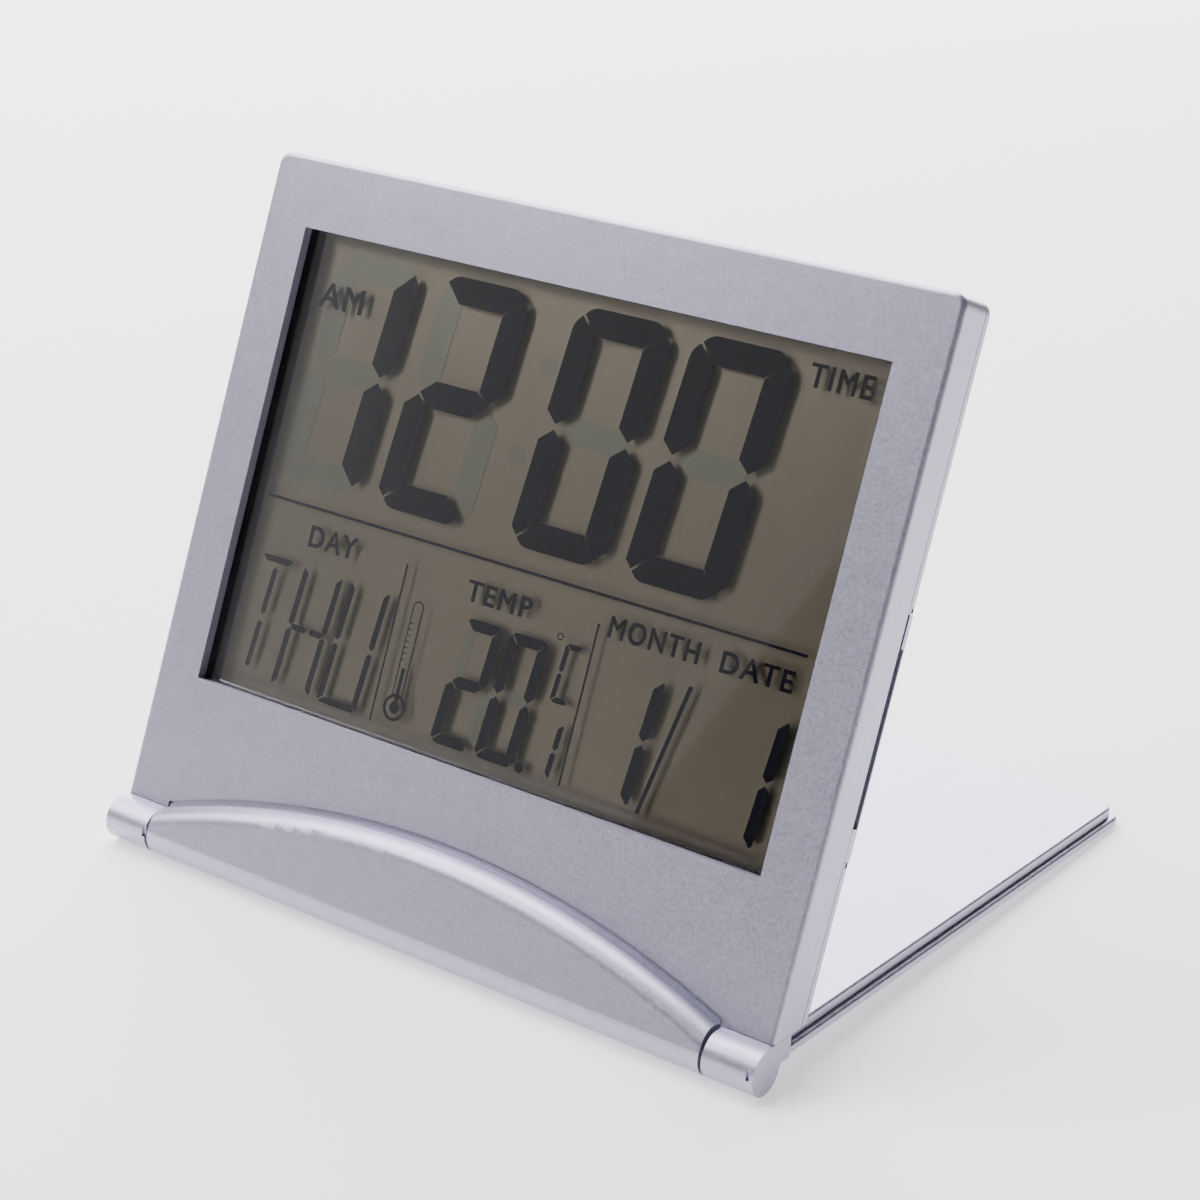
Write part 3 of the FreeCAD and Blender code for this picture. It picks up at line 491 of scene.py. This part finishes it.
class Marks:
    """Flat dark marks in the plane of the display, gathered into one piece."""

    def __init__(self, settings):
        self.settings = settings
        self.mesh = bmesh.new()

    def face(self, outline, low=0.0, slant=0.0, middle=0.0, left=0.0):
        """A flat face, leaned by slant about its middle height and set at left and low."""
        corners = []
        for across, up in outline:
            shift = slant * (up - middle)
            corners.append(self.mesh.verts.new((left + across + shift, 0, low + up)))
        return self.mesh.faces.new(corners)

    def soften(self, figure, corners):
        """Rounds the outer cut corners of a figure's segments."""
        bmesh.ops.bevel(self.mesh, geom=corners, offset=figure.cut * CORNER_SHARE, offset_type="OFFSET",
                        segments=3, profile=0.5, affect="VERTICES", material=-1)

    def digit(self, figure, segments, left, low):
        """The named segments of a figure whose cell starts at left, measured at mid height."""
        outlines = segment_outlines(figure)
        middle = figure.height / 2
        rounded = []
        for letter in segments:
            outline = outlines[letter]
            face = self.face(outline, low, self.settings.slant, middle, left)
            for (across, up), corner in zip(outline, face.verts):
                at_side = across in (0, figure.width) and up in (figure.cut, figure.height - figure.cut)
                at_end = up in (0, figure.height) and across in (figure.cut, figure.width - figure.cut)
                if at_side or at_end:
                    rounded.append(corner)
        self.soften(figure, rounded)

    def bar(self, start, end, width, point=0.0, slant=0.0, middle=0.0):
        """A bar between two places on the display."""
        self.face(lozenge(start, end, width, point) if point else strip(start, end, width),
                  0.0, slant, middle)

    def circle(self, centre, radius, sides, filled):
        """A circle in the plane of the display."""
        upright = Matrix.Translation((centre[0], 0, centre[1])) @ Matrix.Rotation(math.pi / 2, 4, "X")
        return bmesh.ops.create_circle(self.mesh, cap_ends=filled, segments=sides, radius=radius,
                                       matrix=upright)["verts"]

    def disc(self, centre, radius):
        """A flat disc."""
        self.circle(centre, radius, SMALL_SIDES, True)

    def ring(self, centre, outer, inner, sides):
        """A flat ring."""
        edges = []
        for radius in (outer, inner):
            corners = self.circle(centre, radius, sides, False)
            edges += list({edge for corner in corners for edge in corner.link_edges})
        bmesh.ops.bridge_loops(self.mesh, edges=edges)

    def word(self, text, left, low, right, high):
        """A bold printed word that fills the box."""
        curve = bpy.data.curves.new("word", "FONT")
        curve.body = text
        curve.resolution_u = 6
        curve.space_character = LETTER_SPREAD
        holder = bpy.data.objects.new("word", curve)
        bpy.context.scene.collection.objects.link(holder)
        bpy.context.view_layer.update()
        flat = bpy.data.meshes.new_from_object(holder.evaluated_get(
            bpy.context.evaluated_depsgraph_get()))
        embolden(flat)
        spots = [vertex.co for vertex in flat.vertices]
        box_low = Vector((min(spot.x for spot in spots), min(spot.y for spot in spots), 0))
        box_high = Vector((max(spot.x for spot in spots), max(spot.y for spot in spots), 0))
        size = box_high - box_low
        stretch = Matrix.Diagonal(((right - left) / size.x, (high - low) / size.y, 1, 1))
        stand = Matrix.Rotation(math.pi / 2, 4, "X")
        flat.transform(Matrix.Translation((left, 0, low)) @ stand @ stretch
                       @ Matrix.Translation(-box_low))
        self.mesh.from_mesh(flat)
        bpy.data.objects.remove(holder)
        bpy.data.curves.remove(curve)
        bpy.data.meshes.remove(flat)

    def finish(self, name, material, slot, depth, rear=False):
        """Gives the marks their thickness and sets them on the display unit."""
        mesh = self.mesh
        bmesh.ops.remove_doubles(mesh, verts=mesh.verts, dist=1e-7)
        faces = list(mesh.faces)
        if rear:
            bmesh.ops.rotate(mesh, verts=mesh.verts, matrix=Matrix.Rotation(math.pi, 3, "Z"))
        grown = bmesh.ops.extrude_face_region(mesh, geom=faces)
        lifted = [item for item in grown["geom"] if isinstance(item, bmesh.types.BMVert)]
        bmesh.ops.translate(mesh, verts=lifted, vec=(0, self.settings.ink, 0))
        bmesh.ops.recalc_face_normals(mesh, faces=mesh.faces)
        bmesh.ops.transform(mesh, verts=mesh.verts,
                            matrix=DISPLAY @ Matrix.Translation((0, depth, 0)))
        return make_piece(name, mesh, material, "display_unit")


def embolden(flat):
    """Moves the outline of flat lettering outwards, its corners staying sharp."""
    mesh = bmesh.new()
    mesh.from_mesh(flat)
    bmesh.ops.remove_doubles(mesh, verts=mesh.verts, dist=1e-6)
    pushes = {}
    for edge in mesh.edges:
        if not edge.is_boundary:
            continue
        start, end = edge.verts
        inside = edge.link_faces[0].calc_center_median() - start.co
        along = (end.co - start.co).normalized()
        outward = (along * inside.dot(along) - inside).normalized()
        for corner in edge.verts:
            pushes.setdefault(corner, []).append(outward)
    for corner, (first, second) in pushes.items():
        divisor = max(1 + first.dot(second), SHARPEST)
        corner.co += (first + second) * (LETTER_WEIGHT / divisor)
    mesh.to_mesh(flat)
    mesh.free()


def strip(start, end, width):
    """A square-ended bar, cut level where it stands and upright where it lies."""
    start, end = Vector(start), Vector(end)
    along = end - start
    steep = abs(along.y) > abs(along.x)
    side = Vector((width / 2, 0)) if steep else Vector((0, width / 2))
    return [tuple(start - side), tuple(start + side), tuple(end + side), tuple(end - side)]


def make_piece(name, mesh, material, body):
    """Turns a bmesh in place into a finished piece that rides on a body."""
    data = bpy.data.meshes.new(name)
    mesh.to_mesh(data)
    mesh.free()
    piece = bpy.data.objects.new(name, data)
    bpy.context.scene.collection.objects.link(piece)
    data.materials.append(material)
    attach(piece, body)
    return piece


# ---------------------------------------------------------------- operators: finishes

class PieceOperator(bpy.types.Operator):
    """Common ground of the operators below."""

    bl_options = {"REGISTER", "UNDO"}


class CLOCK_OT_case(PieceOperator):
    """Paints the housings, the hinge bow, the cover and the battery door"""

    bl_idname = "clock.case"
    bl_label = "Case"

    def execute(self, context):
        scene = context.scene
        settings = scene.clock_finishes
        silver = silver_lacquer("silver_paint", settings.silver, settings.silver_roughness)
        rear = silver_lacquer("silver_paint_rear", settings.silver_rear,
                              settings.silver_roughness + 0.04)
        paint_node(("front_housing", "hinge_bow", "cover_outer_shell", "cover_inner_panel"), silver)
        paint_node(("rear_housing", "battery_door"), rear)
        return {"FINISHED"}


class CLOCK_OT_optics(PieceOperator):
    """Finishes the window, the display glass and the film behind it"""

    bl_idname = "clock.optics"
    bl_label = "Optics"

    def execute(self, context):
        scene = context.scene
        paint_node(("window_lens",), lens_finish())
        settings = scene.clock_finishes
        film = reflector_finish("reflector_film", settings.reflector, settings)
        paint_node(("lcd_reflector",), film)
        self.bond_glasses(film)
        black = moulded_plastic("black_plastic", (0.014, 0.014, 0.015), roughness=0.42)
        paint_node(("lcd_frame", "piezo_buzzer", "battery_holder"), black)
        return {"FINISHED"}

    def bond_glasses(self, film):
        """The two glasses sealed into one cell, the rear one shorter and backed by the film."""
        front_low, front_high = display_box("lcd_front_glass")
        rear_low, rear_high = display_box("lcd_rear_glass")
        middle = (front_low.z + front_high.z) / 2
        stages = [(front_high.y, front_low.z, front_high.z), (front_high.y, rear_low.z, rear_high.z),
                  (rear_high.y - CELL_PLAY, rear_low.z, rear_high.z)]
        mesh = bmesh.new()
        outline = [(front_low.x, front_low.z), (front_high.x, front_low.z),
                   (front_high.x, front_high.z), (front_low.x, front_high.z)]
        face = mesh.faces.new([mesh.verts.new((across, front_low.y, up)) for across, up in outline])
        for stage, (depth, low, high) in enumerate(stages):
            grown = bmesh.ops.extrude_face_region(mesh, geom=[face])["geom"]
            if stage:
                bmesh.ops.delete(mesh, geom=[face], context="FACES_ONLY")
            face = next(item for item in grown if isinstance(item, bmesh.types.BMFace))
            for corner in face.verts:
                corner.co.y = depth
                corner.co.z = low if corner.co.z < middle else high
        bmesh.ops.remove_doubles(mesh, verts=mesh.verts, dist=1e-7)
        bmesh.ops.recalc_face_normals(mesh, faces=mesh.faces)
        for face in mesh.faces:
            behind = all(corner.co.y > front_high.y + CELL_PLAY for corner in face.verts)
            face.material_index = 1 if behind else 0
        bmesh.ops.transform(mesh, verts=mesh.verts, matrix=DISPLAY)
        cell = make_piece("display_cell", mesh, glass_finish(), "display_unit")
        cell.data.materials.append(film)
        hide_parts("lcd_front_glass", "lcd_rear_glass")


class CLOCK_OT_electronics(PieceOperator):
    """Finishes the board, what is soldered to it and the battery's contacts"""

    bl_idname = "clock.electronics"
    bl_label = "Electronics"

    def execute(self, context):
        paint_node(("main_board",), board_laminate())
        paint_node(("board_components",), ceramic_parts())
        paint_node(("zebra_strip_lower", "zebra_strip_upper", "keypad_contacts"), contact_rubber())
        paint_node(("clock_chip",),
                   moulded_plastic("chip_resin", (0.012, 0.012, 0.014), roughness=0.28,
                                   grain_size=700, depth=0.02 * MM))
        paint_node(("temperature_sensor",),
                   moulded_plastic("sensor_bead", (0.36, 0.10, 0.02), roughness=0.3,
                                   grain_size=900))
        paint_node(("battery_contact_negative", "battery_contact_positive"),
                   brushed_metal("spring_contact", (0.70, 0.66, 0.56), roughness=0.3,
                                 stretch=(0.1, 1, 1)))
        return {"FINISHED"}


class CLOCK_OT_hardware(PieceOperator):
    """Finishes the pins, the screws, the crystal's can and the coin cell"""

    bl_idname = "clock.hardware"
    bl_label = "Hardware"

    def execute(self, context):
        paint_node(("coin_cell", "quartz_crystal", "hinge_pin_left", "hinge_pin_right"),
                   brushed_metal("steel", (0.62, 0.62, 0.63), roughness=0.26, stretch=(0.08, 1, 1)))
        paint_node(("housing_screws", "bow_screws"),
                   brushed_metal("screw_steel", (0.50, 0.50, 0.52), roughness=0.34,
                                 stretch=(1, 1, 1)))
        return {"FINISHED"}


class CLOCK_OT_buttons(PieceOperator):
    """Finishes the push buttons and prints what each one does beside it"""

    bl_idname = "clock.buttons"
    bl_label = "Buttons"

    def execute(self, context):
        scene = context.scene
        buttons = {"mode": "MODE", "set": "SET", "up": "UP", "snooze": "SNZ", "reset": "RESET"}
        grey = moulded_plastic("button_grey", scene.clock_finishes.button, roughness=0.4)
        paint_node([f"{name}_button" for name in buttons if name != "reset"], grey)
        dark = moulded_plastic("button_dark", (0.03, 0.03, 0.033), roughness=0.45)
        paint_node(("reset_button",), dark)
        marks = Marks(scene.clock_readout)
        letter, tall, drop = 1.0 * MM, 1.5 * MM, 2.6 * MM
        row_low = display_box("mode_button")[0].z
        for name, text in buttons.items():
            low, high = display_box(f"{name}_button")
            centre = -(low.x + high.x) / 2
            half = letter * len(text) / 2
            top = row_low - drop
            marks.word(text, centre - half, top - tall, centre + half, top)
        ink = ink_finish(scene.clock_finishes)
        marks.finish("button_words", ink, "black_plastic", REAR_FACE, rear=True)
        return {"FINISHED"}


# ---------------------------------------------------------------- operators: readout

def time_figure(settings):
    """A figure of the hour and minute."""
    stroke = settings.time_stroke
    return Figure(width=settings.time_width, height=settings.time_height, stroke=stroke,
                  bar=stroke - 0.15 * MM, cut=2.5 * MM, gap=0.25 * MM, tip=0.4 * MM, rise=1.65 * MM)


def small_figure(settings, width=None, stroke=None):
    """A figure or letter of the lower row."""
    stroke = stroke or settings.small_stroke
    return Figure(width=width or settings.small_width, height=settings.small_height, stroke=stroke,
                  bar=stroke - 0.05 * MM, cut=stroke * 0.56, gap=0.14 * MM, tip=0.2 * MM,
                  rise=stroke * 0.45)


TIME_LOW = 54.0 * MM
ROW_LOW = 24.9 * MM
TIME_CELLS = (("1", -45.2 * MM), ("2", -25.95 * MM), ("0", -2.45 * MM), ("0", 16.6 * MM))
TEMPERATURE_CELLS = (("2", -7.65 * MM), ("0", 0.05 * MM))
COLON_DOTS = ((-4.66 * MM, 78.38 * MM), (-6.3 * MM, 65.6 * MM))


def lay_ink(marks, name, scene):
    """Finishes marks as dark ink that lies just clear of the display's front glass."""
    place = GLASS_FRONT - 2 * marks.settings.ink
    marks.finish(name, ink_finish(scene.clock_finishes), "black_plastic", place)


def idle_letters(digit):
    """The segments of a figure that are switched off."""
    return [letter for letter in ALL_SEGMENTS if letter not in DIGITS[digit]]


class CLOCK_OT_time_digits(PieceOperator):
    """Builds the hour and minute figures"""

    bl_idname = "clock.time_digits"
    bl_label = "Time figures"

    def execute(self, context):
        scene = context.scene
        settings = scene.clock_readout
        marks = Marks(settings)
        figure = time_figure(settings)
        for digit, left in TIME_CELLS:
            marks.digit(figure, DIGITS[digit], left, TIME_LOW)
        lay_ink(marks, "time_digits", scene)
        return {"FINISHED"}


class CLOCK_OT_idle_segment_shadows(PieceOperator):
    """Builds the switched-off segments that show as a faint tint"""

    bl_idname = "clock.idle_segments"
    bl_label = "Idle segments"

    def execute(self, context):
        scene = context.scene
        settings = scene.clock_readout
        marks = Marks(settings)
        figure = time_figure(settings)
        for digit, left in TIME_CELLS:
            marks.digit(figure, idle_letters(digit), left, TIME_LOW)
        dot = 1.5 * MM
        for centre in COLON_DOTS:
            marks.disc(centre, dot)
        row = small_figure(settings)
        for digit, left in TEMPERATURE_CELLS:
            marks.digit(row, idle_letters(digit), left, ROW_LOW)
        finishes = scene.clock_finishes
        shadow_tint = reflector_finish("idle_segment_shadows", finishes.idle_shadow, finishes)
        # Painted shadow: the plates lie on the film behind the glass, where the switched-off segments'
        # shadows fall, in a colour a little darker than the film.
        marks.finish("idle_segment_shadows", shadow_tint, "reflector_film",
                     FILM_FRONT - CELL_PLAY - 2 * settings.ink)
        return {"FINISHED"}


class CLOCK_OT_weekday(PieceOperator):
    """Builds the weekday's three letters"""

    bl_idname = "clock.weekday"
    bl_label = "Weekday letters"

    def execute(self, context):
        scene = context.scene
        settings = scene.clock_readout
        marks = Marks(settings)
        wide, stroke = settings.letter_width, settings.letter_stroke
        letter = small_figure(settings, wide, stroke)
        middle = settings.small_height / 2
        centre = ROW_LOW + middle
        cap = letter._replace(width=6.2 * MM)
        stem, second_left, third_left = -41.95 * MM, -36.95 * MM, -28.25 * MM
        marks.digit(cap, "a", stem - cap.width / 2, ROW_LOW)
        for low, high in ((26.3 * MM, 33.3 * MM), (34.2 * MM, 41.2 * MM)):
            marks.bar((stem, low), (stem, high), stroke * 0.9, 0.4 * MM, settings.slant, centre)
        marks.digit(letter, "bcef", second_left, ROW_LOW)
        for left, right in ((-36.4 * MM, -33.5 * MM), (-32.9 * MM, -30.4 * MM)):
            marks.bar((left, centre), (right, centre), stroke * 0.95, 0.35 * MM)
        marks.digit(letter, "bcdef", third_left, ROW_LOW)
        lay_ink(marks, "weekday_letters", scene)
        return {"FINISHED"}


class CLOCK_OT_temperature(PieceOperator):
    """Builds the temperature figures, their point, the degree ring and the C"""

    bl_idname = "clock.temperature"
    bl_label = "Temperature figures"

    def execute(self, context):
        scene = context.scene
        settings = scene.clock_readout
        marks = Marks(settings)
        figure = small_figure(settings)
        for digit, left in TEMPERATURE_CELLS:
            marks.digit(figure, DIGITS[digit], left, ROW_LOW)
        tenth = Figure(width=3.6 * MM, height=7.9 * MM, stroke=0.85 * MM, bar=0.85 * MM, cut=0.5 * MM,
                       gap=0.1 * MM, tip=0.12 * MM, rise=0.35 * MM)
        tenth_right, tenth_low = 12.4 * MM, 25.1 * MM
        marks.digit(tenth, DIGITS["1"], tenth_right - tenth.width, tenth_low)
        unit = Figure(width=3.0 * MM, height=8.2 * MM, stroke=0.75 * MM, bar=0.8 * MM, cut=0.5 * MM,
                      gap=0.1 * MM, tip=0.1 * MM, rise=0.3 * MM)
        unit_left, unit_low = 9.55 * MM, 35.3 * MM
        marks.digit(unit, DIGITS["C"], unit_left, unit_low)
        point, degree = (7.22 * MM, 25.45 * MM), (8.58 * MM, 44.0 * MM)
        marks.disc(point, 0.74 * MM)
        marks.ring(degree, 0.5 * MM, 0.33 * MM, SMALL_SIDES)
        lay_ink(marks, "temperature_digits", scene)
        return {"FINISHED"}


class CLOCK_OT_date(PieceOperator):
    """Builds the month and date figures and the stroke between them"""

    bl_idname = "clock.date"
    bl_label = "Date figures"

    def execute(self, context):
        scene = context.scene
        settings = scene.clock_readout
        marks = Marks(settings)
        figure = small_figure(settings)
        for right in (25.7 * MM, 44.95 * MM):
            marks.digit(figure, DIGITS["1"], right - figure.width, ROW_LOW)
        slash_foot, slash_top, slash_width = (26.7 * MM, ROW_LOW), (30.05 * MM, 42.9 * MM), 0.65 * MM
        marks.bar(slash_foot, slash_top, slash_width)
        lay_ink(marks, "date_digits", scene)
        return {"FINISHED"}


class CLOCK_OT_rules(PieceOperator):
    """Builds the three rules that part the readout"""

    bl_idname = "clock.rules"
    bl_label = "Rules"

    def execute(self, context):
        scene = context.scene
        settings = scene.clock_readout
        marks = Marks(settings)
        left, right, between_rows = -46.3 * MM, 45.4 * MM, 51.0 * MM
        marks.bar((left, between_rows), (right, between_rows), settings.rule)
        fine_top = 47.2 * MM
        for across in (-18.83 * MM, 14.02 * MM):
            marks.bar((across, ROW_LOW), (across, fine_top), settings.fine_rule)
        lay_ink(marks, "readout_rules", scene)
        return {"FINISHED"}


class CLOCK_OT_words(PieceOperator):
    """Prints the words that say what each figure means"""

    bl_idname = "clock.words"
    bl_label = "Words"

    # Left, low, right and high side of each word, in millimetres on the display's face.
    PLACES = {
        "AM": (-45.3, 78.95, -37.2, 82.5), "TIME": (35.65, 84.0, 45.05, 87.1),
        "DAY": (-36.8, 45.5, -28.1, 48.6), "TEMP": (-8.0, 44.9, 3.0, 47.8),
        "MONTH": (15.7, 45.8, 30.05, 48.8), "DATE": (33.4, 45.8, 44.4, 48.7),
    }

    def execute(self, context):
        scene = context.scene
        settings = scene.clock_readout
        marks = Marks(settings)
        for text, corners in self.PLACES.items():
            marks.word(text, *(corner * MM for corner in corners))
        lay_ink(marks, "readout_words", scene)
        return {"FINISHED"}


class CLOCK_OT_thermometer(PieceOperator):
    """Builds the thermometer mark beside the temperature"""

    bl_idname = "clock.thermometer"
    bl_label = "Thermometer mark"

    def execute(self, context):
        scene = context.scene
        settings = scene.clock_readout
        marks = Marks(settings)
        centre, bulb, top = -15.27 * MM, 27.6 * MM, 41.85 * MM
        tube, line, ring = 0.93 * MM, 0.18 * MM, 1.9 * MM
        filled_to, column, ledge = 33.2 * MM, 0.55 * MM, 0.8 * MM
        marks.ring((centre, bulb), ring, 1.45 * MM, LARGE_SIDES)
        marks.disc((centre, bulb), 0.85 * MM)
        foot = bulb + math.sqrt(ring ** 2 - tube ** 2)
        for side in (-1, 1):
            across = centre + side * (tube - line / 2)
            marks.bar((across, foot), (across, top), line)
        self.arch(marks, centre, top, tube, line)
        marks.bar((centre, bulb + ledge), (centre, filled_to), column)
        ticks, lowest, pitch = 7, 34.39 * MM, 0.86 * MM
        for index in range(ticks):
            up = lowest + index * pitch
            marks.bar((centre - tube + line, up), (centre - 0.2 * MM, up), 0.16 * MM)
        lay_ink(marks, "thermometer_mark", scene)
        return {"FINISHED"}

    @staticmethod
    def arch(marks, centre, top, tube, line):
        """The rounded end of the tube: an upright pair of points spun half a turn."""
        mesh = marks.mesh
        start = [mesh.verts.new((centre + tube, 0, top)), mesh.verts.new((centre + tube - line, 0, top))]
        edge = mesh.edges.new(start)
        bmesh.ops.spin(mesh, geom=[*start, edge], cent=(centre, 0, top), axis=(0, 1, 0),
                       angle=-math.pi, steps=16, use_merge=False, use_duplicate=False)


# ---------------------------------------------------------------- operators: studio

class CLOCK_OT_studio(PieceOperator):
    """Sets up the pale floor, the soft lamps and the camera"""

    bl_idname = "clock.studio"
    bl_label = "Studio"

    def execute(self, context):
        scene = context.scene
        settings = scene.clock_studio
        self.lay_floor(scene, settings)
        self.light_sky(scene, settings)
        self.hang_lamp(scene, "key_lamp", settings.key, offset=(-0.60, -0.40, 0.60),
                       facing=(-0.60, -0.40, 0.60), wide=0.55, tall=0.42)
        self.hang_lamp(scene, "top_lamp", settings.top, offset=(-0.45, 0.18, 0.95),
                       facing=(-0.45, 0.18, 0.95), wide=1.0, tall=0.9)
        self.hang_lamp(scene, "back_card", settings.back, offset=(-0.75, 1.05, 0.42),
                       facing=(-0.75, 1.05, 0.30), wide=1.7, tall=0.8)
        self.hang_lamp(scene, "left_card", settings.card, offset=(-0.548, -0.263, 0.417),
                       facing=(-0.49, -0.843, 0.22), wide=0.9, tall=0.9, roll=-0.23)
        self.place_camera(scene, settings)
        return {"FINISHED"}

    def lay_floor(self, scene, settings):
        """A pale floor just under the clock, which glows a little so that it looks even."""
        finish = Finish("floor_paint", {"Roughness": 0.9, "Specular IOR Level": 0.1})
        grain = finish.noise(scale=60, detail=2)
        tone = settings.floor_tone
        finish.set({
            "Base Color": finish.mix(grain, paint(tone, 0.99), paint(tone, 1.01)),
            "Emission Color": paint(tone),
            "Emission Strength": settings.floor_glow,
        })
        mesh = bmesh.new()
        bmesh.ops.create_grid(mesh, x_segments=1, y_segments=1, size=settings.floor_size / 2)
        bmesh.ops.translate(mesh, verts=mesh.verts, vec=(0, 0, CAD_BOX[0].z - 0.1 * MM))
        data = bpy.data.meshes.new("floor")
        mesh.to_mesh(data)
        mesh.free()
        data.materials.append(finish.material)
        floor = bpy.data.objects.new("floor", data)
        scene.collection.objects.link(floor)

    def light_sky(self, scene, settings):
        """Even white light from all round."""
        sky = bpy.data.worlds.new("studio_sky")
        sky.use_nodes = True
        background = sky.node_tree.nodes["Background"]
        background.inputs["Color"].default_value = (1.0, 1.0, 1.0, 1.0)
        background.inputs["Strength"].default_value = settings.sky
        scene.world = sky

    def hang_lamp(self, scene, name, power, offset, facing, wide, tall, roll=0.0):
        """A soft lamp, offset from the clock, with its back towards facing and rolled about it."""
        lamp = bpy.data.lights.new(name, "AREA")
        lamp.shape = "RECTANGLE"
        lamp.size, lamp.size_y = wide, tall
        lamp.energy = power
        holder = bpy.data.objects.new(name, lamp)
        holder.location = (CAD_BOX[0] + CAD_BOX[1]) / 2 + Vector(offset)
        turn = Vector(facing).to_track_quat("Z", "Y").to_matrix()
        holder.rotation_euler = (turn @ Matrix.Rotation(roll, 3, "Z")).to_euler()
        scene.collection.objects.link(holder)

    def place_camera(self, scene, settings):
        """The camera, standing and turned as the settings say."""
        lens = bpy.data.cameras.new("studio_camera")
        lens.lens = settings.camera_lens
        lens.clip_start = 0.01
        camera = bpy.data.objects.new("studio_camera", lens)
        camera.location = settings.camera_place
        camera.rotation_euler = Euler(settings.camera_turn)
        scene.collection.objects.link(camera)
        scene.camera = camera


# ---------------------------------------------------------------- panel and registration

OPERATORS = (
    CLOCK_OT_case, CLOCK_OT_optics, CLOCK_OT_electronics, CLOCK_OT_hardware, CLOCK_OT_buttons,
    CLOCK_OT_time_digits, CLOCK_OT_idle_segment_shadows, CLOCK_OT_weekday, CLOCK_OT_temperature,
    CLOCK_OT_date, CLOCK_OT_rules, CLOCK_OT_words, CLOCK_OT_thermometer, CLOCK_OT_studio,
)


class CLOCK_PT_panel(bpy.types.Panel):
    """Lists the clock's operators and settings"""

    bl_label = "Alarm Clock"
    bl_idname = "CLOCK_PT_panel"
    bl_space_type = "VIEW_3D"
    bl_region_type = "UI"
    bl_category = "Alarm Clock"

    def draw(self, context):
        scene = context.scene
        for operator in OPERATORS:
            self.layout.operator(operator.bl_idname)
        for group in (scene.clock_readout, scene.clock_finishes, scene.clock_studio):
            box = self.layout.box()
            for name in group.__annotations__:
                box.prop(group, name)


SETTINGS = {
    "clock_readout": ReadoutSettings,
    "clock_finishes": FinishSettings,
    "clock_studio": StudioSettings,
}


def register():
    """Adds the settings, the operators and the panel."""
    for group in SETTINGS.values():
        bpy.utils.register_class(group)
    for cls in (*OPERATORS, CLOCK_PT_panel):
        bpy.utils.register_class(cls)
    for name, group in SETTINGS.items():
        setattr(bpy.types.Scene, name, PointerProperty(type=group))


def unregister():
    """Takes away what register added."""
    for name in SETTINGS:
        delattr(bpy.types.Scene, name)
    for cls in (CLOCK_PT_panel, *reversed(OPERATORS)):
        bpy.utils.unregister_class(cls)
    for group in reversed(SETTINGS.values()):
        bpy.utils.unregister_class(group)


def main():
    """Builds the clock's looks and writes its sizes."""
    register()
    for operator in OPERATORS:
        group, name = operator.bl_idname.split(".")
        getattr(getattr(bpy.ops, group), name)()


if __name__ == "__main__":
    main()
